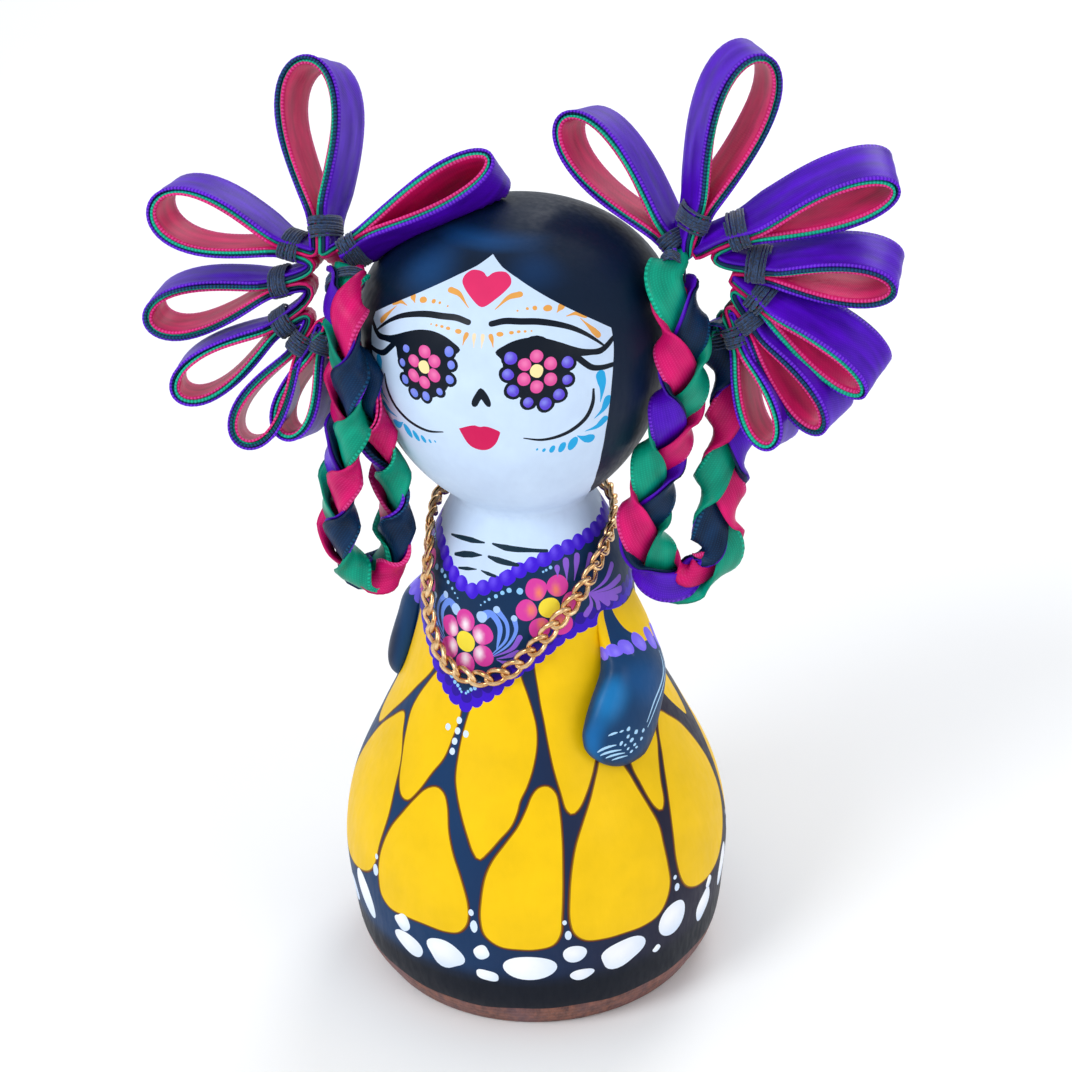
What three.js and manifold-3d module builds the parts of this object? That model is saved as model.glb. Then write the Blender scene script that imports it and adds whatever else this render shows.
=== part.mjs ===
// Day of the dead skeleton figure: a turned, painted wooden doll with two glued-on arms,
// sewn ribbon rosettes that hang down as plaited loops, and a gold chain necklace.
// Millimetres, +Z up, the face looks along -Y. Left and right are the figure's own: its left is +X.
import * as THREE from "three";
import { mergeVertices } from "three/addons/utils/BufferGeometryUtils.js";
import Module from "manifold-3d";

const wasm = await Module();
wasm.setup();

// Driving dimensions
const FIGURE_HEIGHT = 150;
const BASE_RADIUS = 31.2;
const BASE_EDGE = 0.6;
const NECK_HEIGHT = 96.5;
const NECK_RADIUS = 12.2;
const HEAD_RADIUS = 27.5;
const CROWN_HEIGHT = 20;
const JAW_DEPTH = 36;
const RIBBON_WIDTH = 10;
const STACK_THICKNESS = 1.6;
const BRAID_WIDTH = 9.4;
const BRAID_THICKNESS = 3.8;
const LINK_LENGTH = 4.7;
const LINK_WIDTH = 2.7;
const LINK_WIRE = 0.72;
const LINK_COUNT = 32;
const LINK_ROLL = 38;
const CHAIN_LIFT = 1.75;
const GAP = 0.3;

// How finely the round shapes are divided
const TURNING_SIDES = 40;
const BODY_ROWS = 14;
const HEAD_ROWS = 12;
const LOOP_STEPS = 14;
const BRAID_STEPS = 34;

// Radius of the turned body at heights up from the base: a bell skirt, waist, shoulders and neck
const BODY_STATIONS = [
  [BASE_RADIUS, BASE_EDGE], [34.2, 6], [35.6, 15], [36.2, 25], [34.2, 36], [28.9, 48],
  [23.2, 60], [20.3, 70], [19.2, 78], [18.2, 84], [15.6, 90], [NECK_RADIUS, NECK_HEIGHT],
];

const PAINTED_WOOD = new THREE.MeshStandardMaterial({ color: 0xe6ad0c, roughness: 0.45 });
const PAINTED_ARM = new THREE.MeshStandardMaterial({ color: 0x15405f, roughness: 0.45 });
const SATIN = new THREE.MeshStandardMaterial({ color: 0x5a12c8, roughness: 0.35 });
const GOLD = new THREE.MeshStandardMaterial({ color: 0xc79a4e, roughness: 0.28, metalness: 1 });

const radians = THREE.MathUtils.degToRad;
const heading = (degrees) => new THREE.Vector3(Math.sin(radians(degrees)), -Math.cos(radians(degrees)), 0);

// Solids and their booleans

function solidOf(geometry) {
  const bare = geometry.clone();
  bare.deleteAttribute("normal");
  bare.deleteAttribute("uv");
  const merged = mergeVertices(bare, 1e-4);
  const corners = merged.index.array;
  const triangles = [];
  for (let i = 0; i < corners.length; i += 3) {
    const [a, b, c] = corners.slice(i, i + 3);
    if (a !== b && b !== c && c !== a) triangles.push(a, b, c);
  }
  return new wasm.Manifold(new wasm.Mesh({
    numProp: 3,
    vertProperties: new Float32Array(merged.attributes.position.array),
    triVerts: new Uint32Array(triangles),
  }));
}

function geometryOf(solid) {
  const mesh = solid.getMesh();
  const geometry = new THREE.BufferGeometry();
  geometry.setAttribute("position", new THREE.BufferAttribute(new Float32Array(mesh.vertProperties), 3));
  geometry.setIndex([...mesh.triVerts]);
  geometry.computeVertexNormals();
  return geometry;
}

function joinAll(solids) {
  return solids.reduce((whole, next) => whole.add(next));
}

function addPart(group, name, geometry, material) {
  const mesh = new THREE.Mesh(geometry, material);
  mesh.name = name;
  group.add(mesh);
}

// The turned outline, as (radius, height), from the base's rim up to the crown

function turnedOutline(grow) {
  const stations = BODY_STATIONS.map(([radius, height]) => new THREE.Vector2(radius, height));
  const outline = new THREE.SplineCurve(stations).getSpacedPoints(BODY_ROWS);
  const headCentre = FIGURE_HEIGHT - CROWN_HEIGHT;
  const firstAngle = Math.asin(NECK_RADIUS / HEAD_RADIUS) + radians(2);
  for (let row = 0; row < HEAD_ROWS; row++) {
    const angle = THREE.MathUtils.lerp(firstAngle, Math.PI, row / HEAD_ROWS);
    const depth = angle < Math.PI / 2 ? JAW_DEPTH : CROWN_HEIGHT;
    outline.push(new THREE.Vector2(HEAD_RADIUS * Math.sin(angle), headCentre - depth * Math.cos(angle)));
  }
  return outline.map((point) => new THREE.Vector2(point.x + grow, point.y));
}

function turnedGeometry(grow) {
  const under = [new THREE.Vector2(0, -grow), new THREE.Vector2(BASE_RADIUS - BASE_EDGE + grow, -grow)];
  const crown = [new THREE.Vector2(0, FIGURE_HEIGHT + grow)];
  return new THREE.LatheGeometry([...under, ...turnedOutline(grow), ...crown], TURNING_SIDES)
    .rotateX(Math.PI / 2);
}

const bodyOutline = turnedOutline(0);

// The point on the body at a heading round it and a height, lifted off along the surface's normal
function onBody(degrees, height, lift) {
  const above = bodyOutline.findIndex((point) => point.y > height);
  const upper = bodyOutline[above];
  const lower = bodyOutline[above - 1];
  const radius = THREE.MathUtils.mapLinear(height, lower.y, upper.y, lower.x, upper.x);
  const slope = new THREE.Vector2().subVectors(upper, lower).normalize();
  return heading(degrees).multiplyScalar(radius + lift * slope.y).setZ(height - lift * slope.x);
}

const bodySpace = solidOf(turnedGeometry(GAP));

// Bends a shape that stands one unit tall along y onto a path. Its x and z, one unit out from the
// middle, become half the two widths: z stays along the steady direction, x is square to it.
function bend(geometry, path, steadyAt, halfX, halfZ) {
  const bent = geometry.clone();
  const position = bent.attributes.position;
  for (let i = 0; i < position.count; i++) {
    const along = THREE.MathUtils.clamp(position.getY(i) + 0.5, 0, 1);
    const tangent = path.getTangentAt(along);
    const steady = steadyAt(along);
    const zAxis = steady.addScaledVector(tangent, -steady.dot(tangent)).normalize();
    const xAxis = new THREE.Vector3().crossVectors(tangent, zAxis);
    const point = path.getPointAt(along)
      .addScaledVector(xAxis, position.getX(i) * halfX(along))
      .addScaledVector(zAxis, position.getZ(i) * halfZ(along));
    position.setXYZ(i, point.x, point.y, point.z);
  }
  return bent;
}

// Arms: each a long rounded lobe that lies on the body from the shoulder to the skirt

const ARM_HALF_WIDTH = 8.8;
const ARM_HALF_THICKNESS = 4.7;
const SHOULDER_SHARE = 0.4;

function arm(route, lift) {
  const path = new THREE.CatmullRomCurve3(route.map(([degrees, height]) => onBody(degrees, height, lift)));
  const shoulderRise = (along) => 0.3 + 0.7 * THREE.MathUtils.smoothstep(along, 0, SHOULDER_SHARE);
  const lobe = new THREE.CylinderGeometry(1, 1, 1, 12, 12);
  const outward = (along) => path.getPointAt(along).setZ(0).normalize();
  const roundEnds = (along) => Math.max(0.12, (1 - Math.abs(2 * along - 1) ** 5) ** 0.5);
  const shoulderTaper = (along) => 0.74 + 0.26 * Math.min(1, 2 * along);
  const bent = bend(lobe, path, outward,
    (along) => ARM_HALF_WIDTH * roundEnds(along) * shoulderTaper(along),
    (along) => ARM_HALF_THICKNESS * roundEnds(along) * shoulderRise(along));
  return geometryOf(solidOf(bent).subtract(bodySpace));
}

const LEFT_ARM_LIFT = 1.5;
const LEFT_ARM_ROUTE = [[78, 85], [76, 78], [73, 70], [66, 64], [55, 59], [46, 55], [42, 52]];
const RIGHT_ARM_LIFT = -0.4;
const RIGHT_ARM_ROUTE = [[-114, 87], [-112, 80], [-108, 72.5], [-103, 65], [-98, 59], [-95, 54]];

// Ribbon rosettes: four ribbons stacked, folded into loops and sewn round an open hub, whose two
// ends go on as one plaited loop that hangs down. Each loop is made lying along x.

const LOOP_TAPER = 0.7;
const LOOP_PEAK = 0.714;

function loopOutline(start, tip, halfWidth, pinch) {
  const points = [];
  for (let step = 0; step <= LOOP_STEPS; step++) {
    const angle = Math.PI * (2 * step / LOOP_STEPS - 1);
    const reach = (1 + Math.cos(angle)) / 2;
    const swell = Math.abs(Math.sin(angle)) * reach ** LOOP_TAPER / LOOP_PEAK;
    const side = step < LOOP_STEPS / 2 ? -1 : 1;
    const spread = reach < 0.5 ? Math.max(halfWidth * swell, pinch) : halfWidth * swell;
    points.push(new THREE.Vector2(start + (tip - start) * reach, side * spread));
  }
  return pinch ? points : points.slice(1);
}

function ribbonLoop(hub, [rootAngle, aim, lean, turn, length, width]) {
  const shape = new THREE.Shape(loopOutline(0, length, width / 2, STACK_THICKNESS));
  const inside = loopOutline(0.2 * length, length - STACK_THICKNESS, width / 2 - STACK_THICKNESS, 0);
  shape.holes.push(new THREE.Path(inside));
  const geometry = new THREE.ExtrudeGeometry(shape, { depth: RIBBON_WIDTH, bevelEnabled: false });
  geometry.translate(0, 0, -RIBBON_WIDTH);
  const turned = new THREE.Euler(radians(turn), radians(-lean), radians(aim), "ZYX");
  geometry.applyMatrix4(new THREE.Matrix4().makeRotationFromEuler(turned));
  geometry.translate(
    hub.ring[0] + hub.ring[2] * Math.cos(radians(rootAngle)),
    hub.ring[1] + hub.ring[3] * Math.sin(radians(rootAngle)), 0);
  return geometry;
}

const HUB_DEPTH = 6.5;

function hubRing(hub) {
  const [x, y, halfAcross, halfUp] = hub.ring;
  const half = STACK_THICKNESS / 2;
  const shape = new THREE.Shape().absellipse(x, y, halfAcross + half, halfUp + half, 0, 2 * Math.PI);
  shape.holes.push(new THREE.Path().absellipse(x, y, halfAcross - half, halfUp - half, 0, 2 * Math.PI));
  const geometry = new THREE.ExtrudeGeometry(shape, { depth: HUB_DEPTH, bevelEnabled: false, curveSegments: 9 });
  return geometry.translate(0, 0, -HUB_DEPTH - 0.8);
}

// A plait's outline swells where each strand folds over at its edge
function braid(route, steadyHeading, halfX, halfZ) {
  const path = new THREE.CatmullRomCurve3(route.map((point) => new THREE.Vector3(...point)));
  const folds = Math.round(path.getLength() / BRAID_WIDTH);
  const scallop = (along) => 0.94 + 0.06 * Math.cos(2 * Math.PI * folds * along);
  const tube = new THREE.CylinderGeometry(1, 1, 1, 8, BRAID_STEPS);
  return bend(tube, path, () => heading(steadyHeading),
    (along) => halfX * scallop(along), (along) => halfZ * scallop(along));
}

function ribbons(side) {
  const front = heading(side.faces).multiplyScalar(Math.cos(radians(side.tilt)))
    .setZ(Math.sin(radians(side.tilt)));
  const across = heading(side.faces + 90);
  const up = new THREE.Vector3().crossVectors(front, across);
  const place = new THREE.Matrix4().makeBasis(across, up, front).setPosition(...side.hub);
  const pieces = [hubRing(side), ...side.loops.map((loop) => ribbonLoop(side, loop))];
  const rosette = joinAll(pieces.map((piece) => solidOf(piece.applyMatrix4(place))));
  const plait = solidOf(braid(side.route, side.steady, side.halfX, side.halfZ));
  return geometryOf(rosette.add(plait).subtract(bodySpace));
}

// Loop rows: angle of the root round the hub, aim, lean forward, turn about itself, length, width.
// ring: the hub's centre across and up, and its half axes. hub: the centre of its front edge.
const RIGHT_SIDE = {
  hub: [-29.7, -13.5, 141.3],
  faces: -6,
  tilt: 26,
  ring: [-1.6, -2.2, 4.8, 8.4],
  loops: [
    [54, 37, -10, 18, 31, 9.4],
    [100, 101, 0, -4, 31, 12],
    [143, 169, 9, -17, 27.5, 11.6],
    [182, 200, 4, -23, 27, 9.6],
    [224, 219, 6, -21, 25, 8.9],
    [262, 244, 3, -16, 22.3, 8.9],
    [296, 253, -5, -6, 20, 7.9],
  ],
  steady: 42,
  halfX: BRAID_THICKNESS / 2,
  halfZ: BRAID_WIDTH / 2,
  route: [
    [-26.2, -12, 141.6], [-25, -18, 140.4], [-24.2, -22.6, 133.7], [-24.3, -23.1, 125.6],
    [-25, -22.6, 115.9], [-27, -21.8, 107.4], [-28.4, -21, 98.7], [-28.2, -20, 91.1],
    [-24.5, -18, 85.5], [-20.1, -15.8, 89.2], [-19.8, -15.3, 96.4], [-19.8, -15.5, 104.7],
    [-20.9, -17.2, 113.2], [-21.8, -19.3, 120.6], [-23.4, -18.6, 127.5], [-28.2, -15.6, 131.2],
  ],
};

const LEFT_SIDE = {
  hub: [34.8, -2.7, 140],
  faces: -8,
  tilt: 10,
  ring: [-1.5, -1.5, 6.8, 8.6],
  loops: [
    [144, 138, -7, -1, 31, 10.4],
    [104, 73, -5, 36, 32.4, 11],
    [55, 24, -13, 29, 30, 9],
    [17, -1, -9, 22, 26, 8.4],
    [-8, -35, -6, 26, 26.4, 8],
    [-31, -50, -3, 17, 24.7, 8],
    [-48, -66, 4, 1, 22.2, 7.7],
  ],
  steady: 36,
  halfX: BRAID_WIDTH / 2,
  halfZ: BRAID_THICKNESS / 2,
  route: [
    [27.4, 0.4, 141.2], [28.5, -5.8, 140.6], [30.4, -9.4, 134.5], [31, -9.6, 125],
    [28.6, -8.8, 114.5], [25.4, -8.2, 104.6], [23.7, -8.4, 96.4], [24.3, -7.8, 89.1],
    [29.5, -4.5, 82.6], [35.4, -1.5, 86.5], [35.2, -1.2, 93.8], [36, -0.5, 101.8],
    [37.4, 0.4, 109.7], [38, 1, 117.9], [37.4, 1.2, 124.5], [36, 0.8, 130],
  ],
};

// Necklace: oval links, each rolled the other way from its neighbour, on a loop round the neck

function chainLink(roll) {
  const half = LINK_WIDTH / 2 - LINK_WIRE / 2;
  const ring = new THREE.TorusGeometry(half, LINK_WIRE / 2, 4, 6);
  const straight = (LINK_LENGTH - LINK_WIDTH) / 2;
  const position = ring.attributes.position;
  for (let i = 0; i < position.count; i++) {
    position.setX(i, position.getX(i) + Math.sign(position.getX(i)) * straight);
  }
  return ring.rotateX(radians(roll));
}

const CHAIN_ROUTE = [
  [-140, 94.4], [-100, 92.6], [-70, 90.8], [-57, 88], [-48, 83.5], [-44, 79], [-40, 75], [-34, 71.5],
  [-26, 69.4], [-16, 68.6], [-6, 69], [5, 71.2], [15, 74.8], [26, 79], [38, 82.8], [51, 86.2],
  [66, 89], [86, 91.2], [110, 92.8], [145, 94.6], [180, 95.4],
];

function necklace() {
  const route = CHAIN_ROUTE.map(([degrees, height]) => onBody(degrees, height, CHAIN_LIFT));
  const path = new THREE.CatmullRomCurve3(route, true);
  const links = [];
  for (let i = 0; i < LINK_COUNT; i++) {
    const along = i / LINK_COUNT;
    const centre = path.getPointAt(along);
    const tangent = path.getTangentAt(along);
    const outward = centre.clone().setZ(0).normalize();
    const normal = outward.addScaledVector(tangent, -outward.dot(tangent)).normalize();
    const side = new THREE.Vector3().crossVectors(normal, tangent);
    const place = new THREE.Matrix4().makeBasis(tangent, side, normal).setPosition(centre);
    links.push(solidOf(chainLink(i % 2 ? LINK_ROLL : -LINK_ROLL).applyMatrix4(place)));
  }
  return geometryOf(joinAll(links));
}

const figure = new THREE.Group();
addPart(figure, "turned_figure", turnedGeometry(0), PAINTED_WOOD);
addPart(figure, "left_arm", arm(LEFT_ARM_ROUTE, LEFT_ARM_LIFT), PAINTED_ARM);
addPart(figure, "right_arm", arm(RIGHT_ARM_ROUTE, RIGHT_ARM_LIFT), PAINTED_ARM);
addPart(figure, "left_ribbons", ribbons(LEFT_SIDE), SATIN);
addPart(figure, "right_ribbons", ribbons(RIGHT_SIDE), SATIN);
addPart(figure, "necklace_chain", necklace(), GOLD);

export default figure;
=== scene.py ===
"""Looks of the day of the dead skeleton figure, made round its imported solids.

The turned doll and its arms are painted by laying flat outlines of colour on their unrolled surfaces,
the satin ribbons are folded and plaited as strips, and the chain's links are set along its route.
Lengths are millimetres until a mesh is made. Left and right are the figure's own: its left is +X.
"""
import math
import random

import bpy
from mathutils import Euler, Matrix, Vector
from mathutils.geometry import delaunay_2d_cdt


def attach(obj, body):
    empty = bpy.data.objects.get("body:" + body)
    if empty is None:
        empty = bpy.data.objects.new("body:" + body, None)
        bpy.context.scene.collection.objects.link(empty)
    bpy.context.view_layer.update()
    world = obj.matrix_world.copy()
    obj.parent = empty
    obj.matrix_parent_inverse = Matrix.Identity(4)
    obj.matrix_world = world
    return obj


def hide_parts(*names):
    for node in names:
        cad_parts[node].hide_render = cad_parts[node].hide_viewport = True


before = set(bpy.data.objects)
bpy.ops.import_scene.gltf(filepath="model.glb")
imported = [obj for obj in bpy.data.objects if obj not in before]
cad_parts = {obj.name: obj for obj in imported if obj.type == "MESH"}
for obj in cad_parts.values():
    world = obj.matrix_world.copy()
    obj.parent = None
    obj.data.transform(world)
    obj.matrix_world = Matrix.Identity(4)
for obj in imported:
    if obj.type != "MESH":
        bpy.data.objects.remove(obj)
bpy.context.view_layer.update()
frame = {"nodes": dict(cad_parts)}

MM = 0.001


# Camera, floor and light

IMAGE_SIDE = 1072
SENSOR = 36
VIEW_HEADING = math.radians(14)
VIEW_ELEVATION = math.radians(30)
VIEW_ROLL = math.radians(-2.11)
VIEW_DISTANCE = 500
VIEW_FOCUS_PIXELS = 2741
VIEW_TARGET = Vector((1.87, 0.47, 86.2))


def look_from(position, target, roll=0.0):
    forward = (target - position).normalized()
    turn = forward.to_track_quat("-Z", "Y").to_matrix()
    return (turn @ Matrix.Rotation(roll, 3, "Z")).to_4x4()


def make_camera():
    level = math.cos(VIEW_ELEVATION)
    back = Vector((math.sin(VIEW_HEADING) * level, -math.cos(VIEW_HEADING) * level, math.sin(VIEW_ELEVATION)))
    position = Vector((0, 0, 75)) + VIEW_DISTANCE * back
    lens = bpy.data.cameras.new("view")
    lens.sensor_width = SENSOR
    lens.lens = VIEW_FOCUS_PIXELS * SENSOR / IMAGE_SIDE
    lens.clip_start = 0.01
    camera = bpy.data.objects.new("view", lens)
    camera.matrix_world = Matrix.Translation(position * MM) @ look_from(position, VIEW_TARGET, VIEW_ROLL)
    bpy.context.scene.collection.objects.link(camera)
    bpy.context.scene.camera = camera
    bpy.context.scene.view_settings.view_transform = "Standard"


def area_light(name, position, target, size, power, colour):
    lamp = bpy.data.lights.new(name, "AREA")
    lamp.shape = "DISK"
    lamp.size = size
    lamp.energy = power
    lamp.color = colour
    holder = bpy.data.objects.new(name, lamp)
    holder.matrix_world = Matrix.Translation(Vector(position)) @ look_from(Vector(position), Vector(target))
    bpy.context.scene.collection.objects.link(holder)


def make_studio():
    world = bpy.data.worlds.new("soft white room")
    world.use_nodes = True
    sky = world.node_tree.nodes["Background"]
    sky.inputs["Color"].default_value = (0.93, 0.96, 1.0, 1)
    sky.inputs["Strength"].default_value = 0.72
    bpy.context.scene.world = world
    aim = (0, 0, 0.09)
    area_light("key", (-0.55, -0.75, 0.85), aim, 0.5, 6.2, (0.95, 0.98, 1.0))
    area_light("fill", (0.8, -0.5, 0.45), aim, 0.6, 1.8, (1.0, 0.96, 0.92))
    area_light("rim", (0.15, 0.8, 0.7), aim, 0.5, 3.2, (1.0, 1.0, 1.0))


# Small helpers for shapes


def mix(a, b, share):
    return a + (b - a) * share


def smooth_step(value):
    value = min(1.0, max(0.0, value))
    return value * value * (3 - 2 * value)


def heading(degrees):
    """The level direction at a heading: 0 is -Y, where the face looks, and 90 is +X."""
    return Vector((math.sin(math.radians(degrees)), -math.cos(math.radians(degrees)), 0))


def smooth_curve(points, count, closed=False):
    """A centripetal curve through the points, cut into evenly spaced ones."""
    points = [Vector(point) for point in points]
    total = len(points)
    dense = []
    for i in range(total if closed else total - 1):
        if closed:
            four = [points[(i + k) % total] for k in (-1, 0, 1, 2)]
        else:
            first = points[i - 1] if i else 2 * points[0] - points[1]
            last = points[i + 2] if i + 2 < total else 2 * points[-1] - points[-2]
            four = [first, points[i], points[i + 1], last]
        gaps = [max((four[k + 1] - four[k]).length ** 0.5, 1e-4) for k in range(3)]
        start, end = four[1], four[2]
        pull_in = ((four[1] - four[0]) / gaps[0] - (four[2] - four[0]) / (gaps[0] + gaps[1])
                   + (four[2] - four[1]) / gaps[1]) * gaps[1]
        pull_out = ((four[2] - four[1]) / gaps[1] - (four[3] - four[1]) / (gaps[1] + gaps[2])
                    + (four[3] - four[2]) / gaps[2]) * gaps[1]
        for step in range(16):
            t = step / 16
            dense.append(start * (2 * t ** 3 - 3 * t ** 2 + 1) + pull_in * (t ** 3 - 2 * t ** 2 + t)
                         + end * (3 * t ** 2 - 2 * t ** 3) + pull_out * (t ** 3 - t ** 2))
    dense.append(points[0] if closed else points[-1])
    return even_points(dense, count, closed)


def even_points(line, count, closed=False):
    reach = [0.0]
    for a, b in zip(line, line[1:]):
        reach.append(reach[-1] + (b - a).length)
    spaced = []
    at = 0
    for i in range(count):
        wanted = reach[-1] * i / (count if closed else count - 1)
        while at < len(line) - 2 and reach[at + 1] < wanted:
            at += 1
        share = (wanted - reach[at]) / max(reach[at + 1] - reach[at], 1e-9)
        spaced.append(line[at].lerp(line[at + 1], min(1.0, share)))
    return spaced


def length_of(line):
    return sum((b - a).length for a, b in zip(line, line[1:]))


def mesh_piece(name, points, faces, materials, face_materials=None, uvs=None, smooth=True):
    """A mesh object from points in millimetres."""
    mesh = bpy.data.meshes.new(name)
    mesh.from_pydata([Vector(point) * MM for point in points], [], faces)
    for material in materials:
        mesh.materials.append(material)
    if face_materials:
        mesh.polygons.foreach_set("material_index", face_materials)
    if uvs:
        layer = mesh.uv_layers.new(name="cloth")
        for corner in mesh.loops:
            layer.data[corner.index].uv = uvs[corner.vertex_index]
    mesh.polygons.foreach_set("use_smooth", [smooth] * len(faces))
    mesh.update()
    piece = bpy.data.objects.new(name, mesh)
    bpy.context.scene.collection.objects.link(piece)
    return piece


# Materials


def linear(hex_colour):
    parts = [int(hex_colour[i:i + 2], 16) / 255 for i in (1, 3, 5)]
    return tuple(c / 12.92 if c <= 0.04045 else ((c + 0.055) / 1.055) ** 2.4 for c in parts)


def new_group(name, inputs, outputs):
    group = bpy.data.node_groups.new(name, "ShaderNodeTree")
    for socket, kind, value in inputs:
        made = group.interface.new_socket(socket, in_out="INPUT", socket_type=kind)
        if value is not None:
            made.default_value = value
    for socket, kind in outputs:
        group.interface.new_socket(socket, in_out="OUTPUT", socket_type=kind)
    return group, group.nodes.new("NodeGroupInput"), group.nodes.new("NodeGroupOutput")


def put(tree, kind, settings=(), links=()):
    """Adds a node: settings are attribute or input values by name, links are input name to socket."""
    node = tree.nodes.new(kind)
    for name, value in dict(settings).items():
        if isinstance(name, str) and hasattr(node, name):
            setattr(node, name, value)
        else:
            node.inputs[name].default_value = value
    for name, socket in dict(links).items():
        tree.links.new(socket, node.inputs[name])
    return node


def range_map(tree, value, low, high, to_low=0.0, to_high=1.0):
    return put(tree, "ShaderNodeMapRange",
               {"From Min": low, "From Max": high, "To Min": to_low, "To Max": to_high},
               {"Value": value}).outputs["Result"]


def tint(tree, colour, factor, other, blend="MIX"):
    """Mixes another colour over one by a factor."""
    node = put(tree, "ShaderNodeMix", {"data_type": "RGBA", "blend_type": blend})
    for index, source in ((0, factor), (6, colour), (7, other)):
        if hasattr(source, "links"):
            tree.links.new(source, node.inputs[index])
        elif index == 0:
            node.inputs[0].default_value = source
        else:
            node.inputs[index].default_value = (*source, 1)
    return node.outputs[2]


def brush_marks_group():
    """Faint strokes, pooling and grit of hand-laid acrylic over wood."""
    group, given, result = new_group(
        "brush marks",
        [("Size", "NodeSocketFloat", 1.0), ("Stretch", "NodeSocketVector", (1, 1, 0.3))],
        [("Tone", "NodeSocketFloat"), ("Streaks", "NodeSocketFloat"), ("Height", "NodeSocketFloat")])
    place = put(group, "ShaderNodeTexCoord").outputs["Object"]
    spread = put(group, "ShaderNodeVectorMath", {"operation": "MULTIPLY"}, {0: place, 1: given.outputs["Stretch"]})
    cloud = put(group, "ShaderNodeTexNoise", {"Scale": 95.0, "Detail": 3.0, "Roughness": 0.6}, {"Vector": place})
    streak = put(group, "ShaderNodeTexNoise", {"Scale": 900.0, "Detail": 2.0, "Roughness": 0.55},
                 {"Vector": spread.outputs[0]})
    grit = put(group, "ShaderNodeTexNoise", {"Scale": 3200.0, "Detail": 1.0}, {"Vector": place})
    height = put(group, "ShaderNodeMath", {"operation": "MULTIPLY_ADD", 1: 0.35},
                 {0: grit.outputs["Fac"], 2: streak.outputs["Fac"]})
    group.links.new(range_map(group, cloud.outputs["Fac"], 0.3, 0.7), result.inputs["Tone"])
    group.links.new(range_map(group, streak.outputs["Fac"], 0.3, 0.7), result.inputs["Streaks"])
    group.links.new(height.outputs[0], result.inputs["Height"])
    return group


def finished_material(name, **constants):
    material = bpy.data.materials.new(name)
    material.use_nodes = True
    shader = material.node_tree.nodes["Principled BSDF"]
    for socket, value in constants.items():
        shader.inputs[socket.replace("_", " ")].default_value = value
    return material, material.node_tree, shader


def paint_material(name, marks, stretch, coat):
    material, tree, shader = finished_material(name, Coat_Weight=coat, Coat_Roughness=0.22, Specular_IOR_Level=0.14)
    strokes = put(tree, "ShaderNodeGroup", {"node_tree": marks})
    strokes.inputs["Stretch"].default_value = stretch
    laid = put(tree, "ShaderNodeAttribute", {"attribute_name": "paint"}).outputs["Color"]
    darker = tint(tree, laid, 1.0, (0.93, 0.93, 0.95), "MULTIPLY")
    lighter = tint(tree, laid, 1.0, (1.05, 1.05, 1.04), "MULTIPLY")
    colour = tint(tree, darker, strokes.outputs["Tone"], lighter)
    thin = range_map(tree, strokes.outputs["Streaks"], 0, 1, 0.0, 0.08)
    colour = tint(tree, colour, thin, (0.8, 0.8, 0.82), "MULTIPLY")
    tree.links.new(colour, shader.inputs["Base Color"])
    tree.links.new(range_map(tree, strokes.outputs["Streaks"], 0, 1, 0.42, 0.58), shader.inputs["Roughness"])
    bump = put(tree, "ShaderNodeBump", {"Strength": 0.25, "Distance": 0.00008},
               {"Height": strokes.outputs["Height"]})
    tree.links.new(bump.outputs[0], shader.inputs["Normal"])
    return material


def bare_wood_material():
    """Reddish turned wood: the grain runs up the rim, with darker rays and the lathe's faint rings."""
    material, tree, shader = finished_material("bare_wood", Roughness=0.55)
    place = put(tree, "ShaderNodeTexCoord").outputs["Object"]
    upright = put(tree, "ShaderNodeMapping", {"Scale": (1, 1, 0.05)}, {"Vector": place})
    grain = put(tree, "ShaderNodeTexNoise", {"Scale": 700.0, "Detail": 4.0, "Roughness": 0.7},
                {"Vector": upright.outputs[0]})
    broad = put(tree, "ShaderNodeTexNoise", {"Scale": 120.0, "Detail": 2.0}, {"Vector": upright.outputs[0]})
    rings = put(tree, "ShaderNodeTexWave",
                {"bands_direction": "Z", "Scale": 260.0, "Distortion": 1.5, "Detail": 1.0}, {"Vector": place})
    colour = tint(tree, linear("#4A2420"), range_map(tree, grain.outputs["Fac"], 0.35, 0.65), linear("#8C5440"))
    colour = tint(tree, colour, range_map(tree, broad.outputs["Fac"], 0.4, 0.7, 0, 0.5), linear("#6B4A55"))
    tree.links.new(colour, shader.inputs["Base Color"])
    height = put(tree, "ShaderNodeMath", {"operation": "MULTIPLY_ADD", 1: 0.3},
                 {0: rings.outputs["Fac"], 2: grain.outputs["Fac"]})
    bump = put(tree, "ShaderNodeBump", {"Strength": 0.5, "Distance": 0.0002}, {"Height": height.outputs[0]})
    tree.links.new(bump.outputs[0], shader.inputs["Normal"])
    return material


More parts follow.
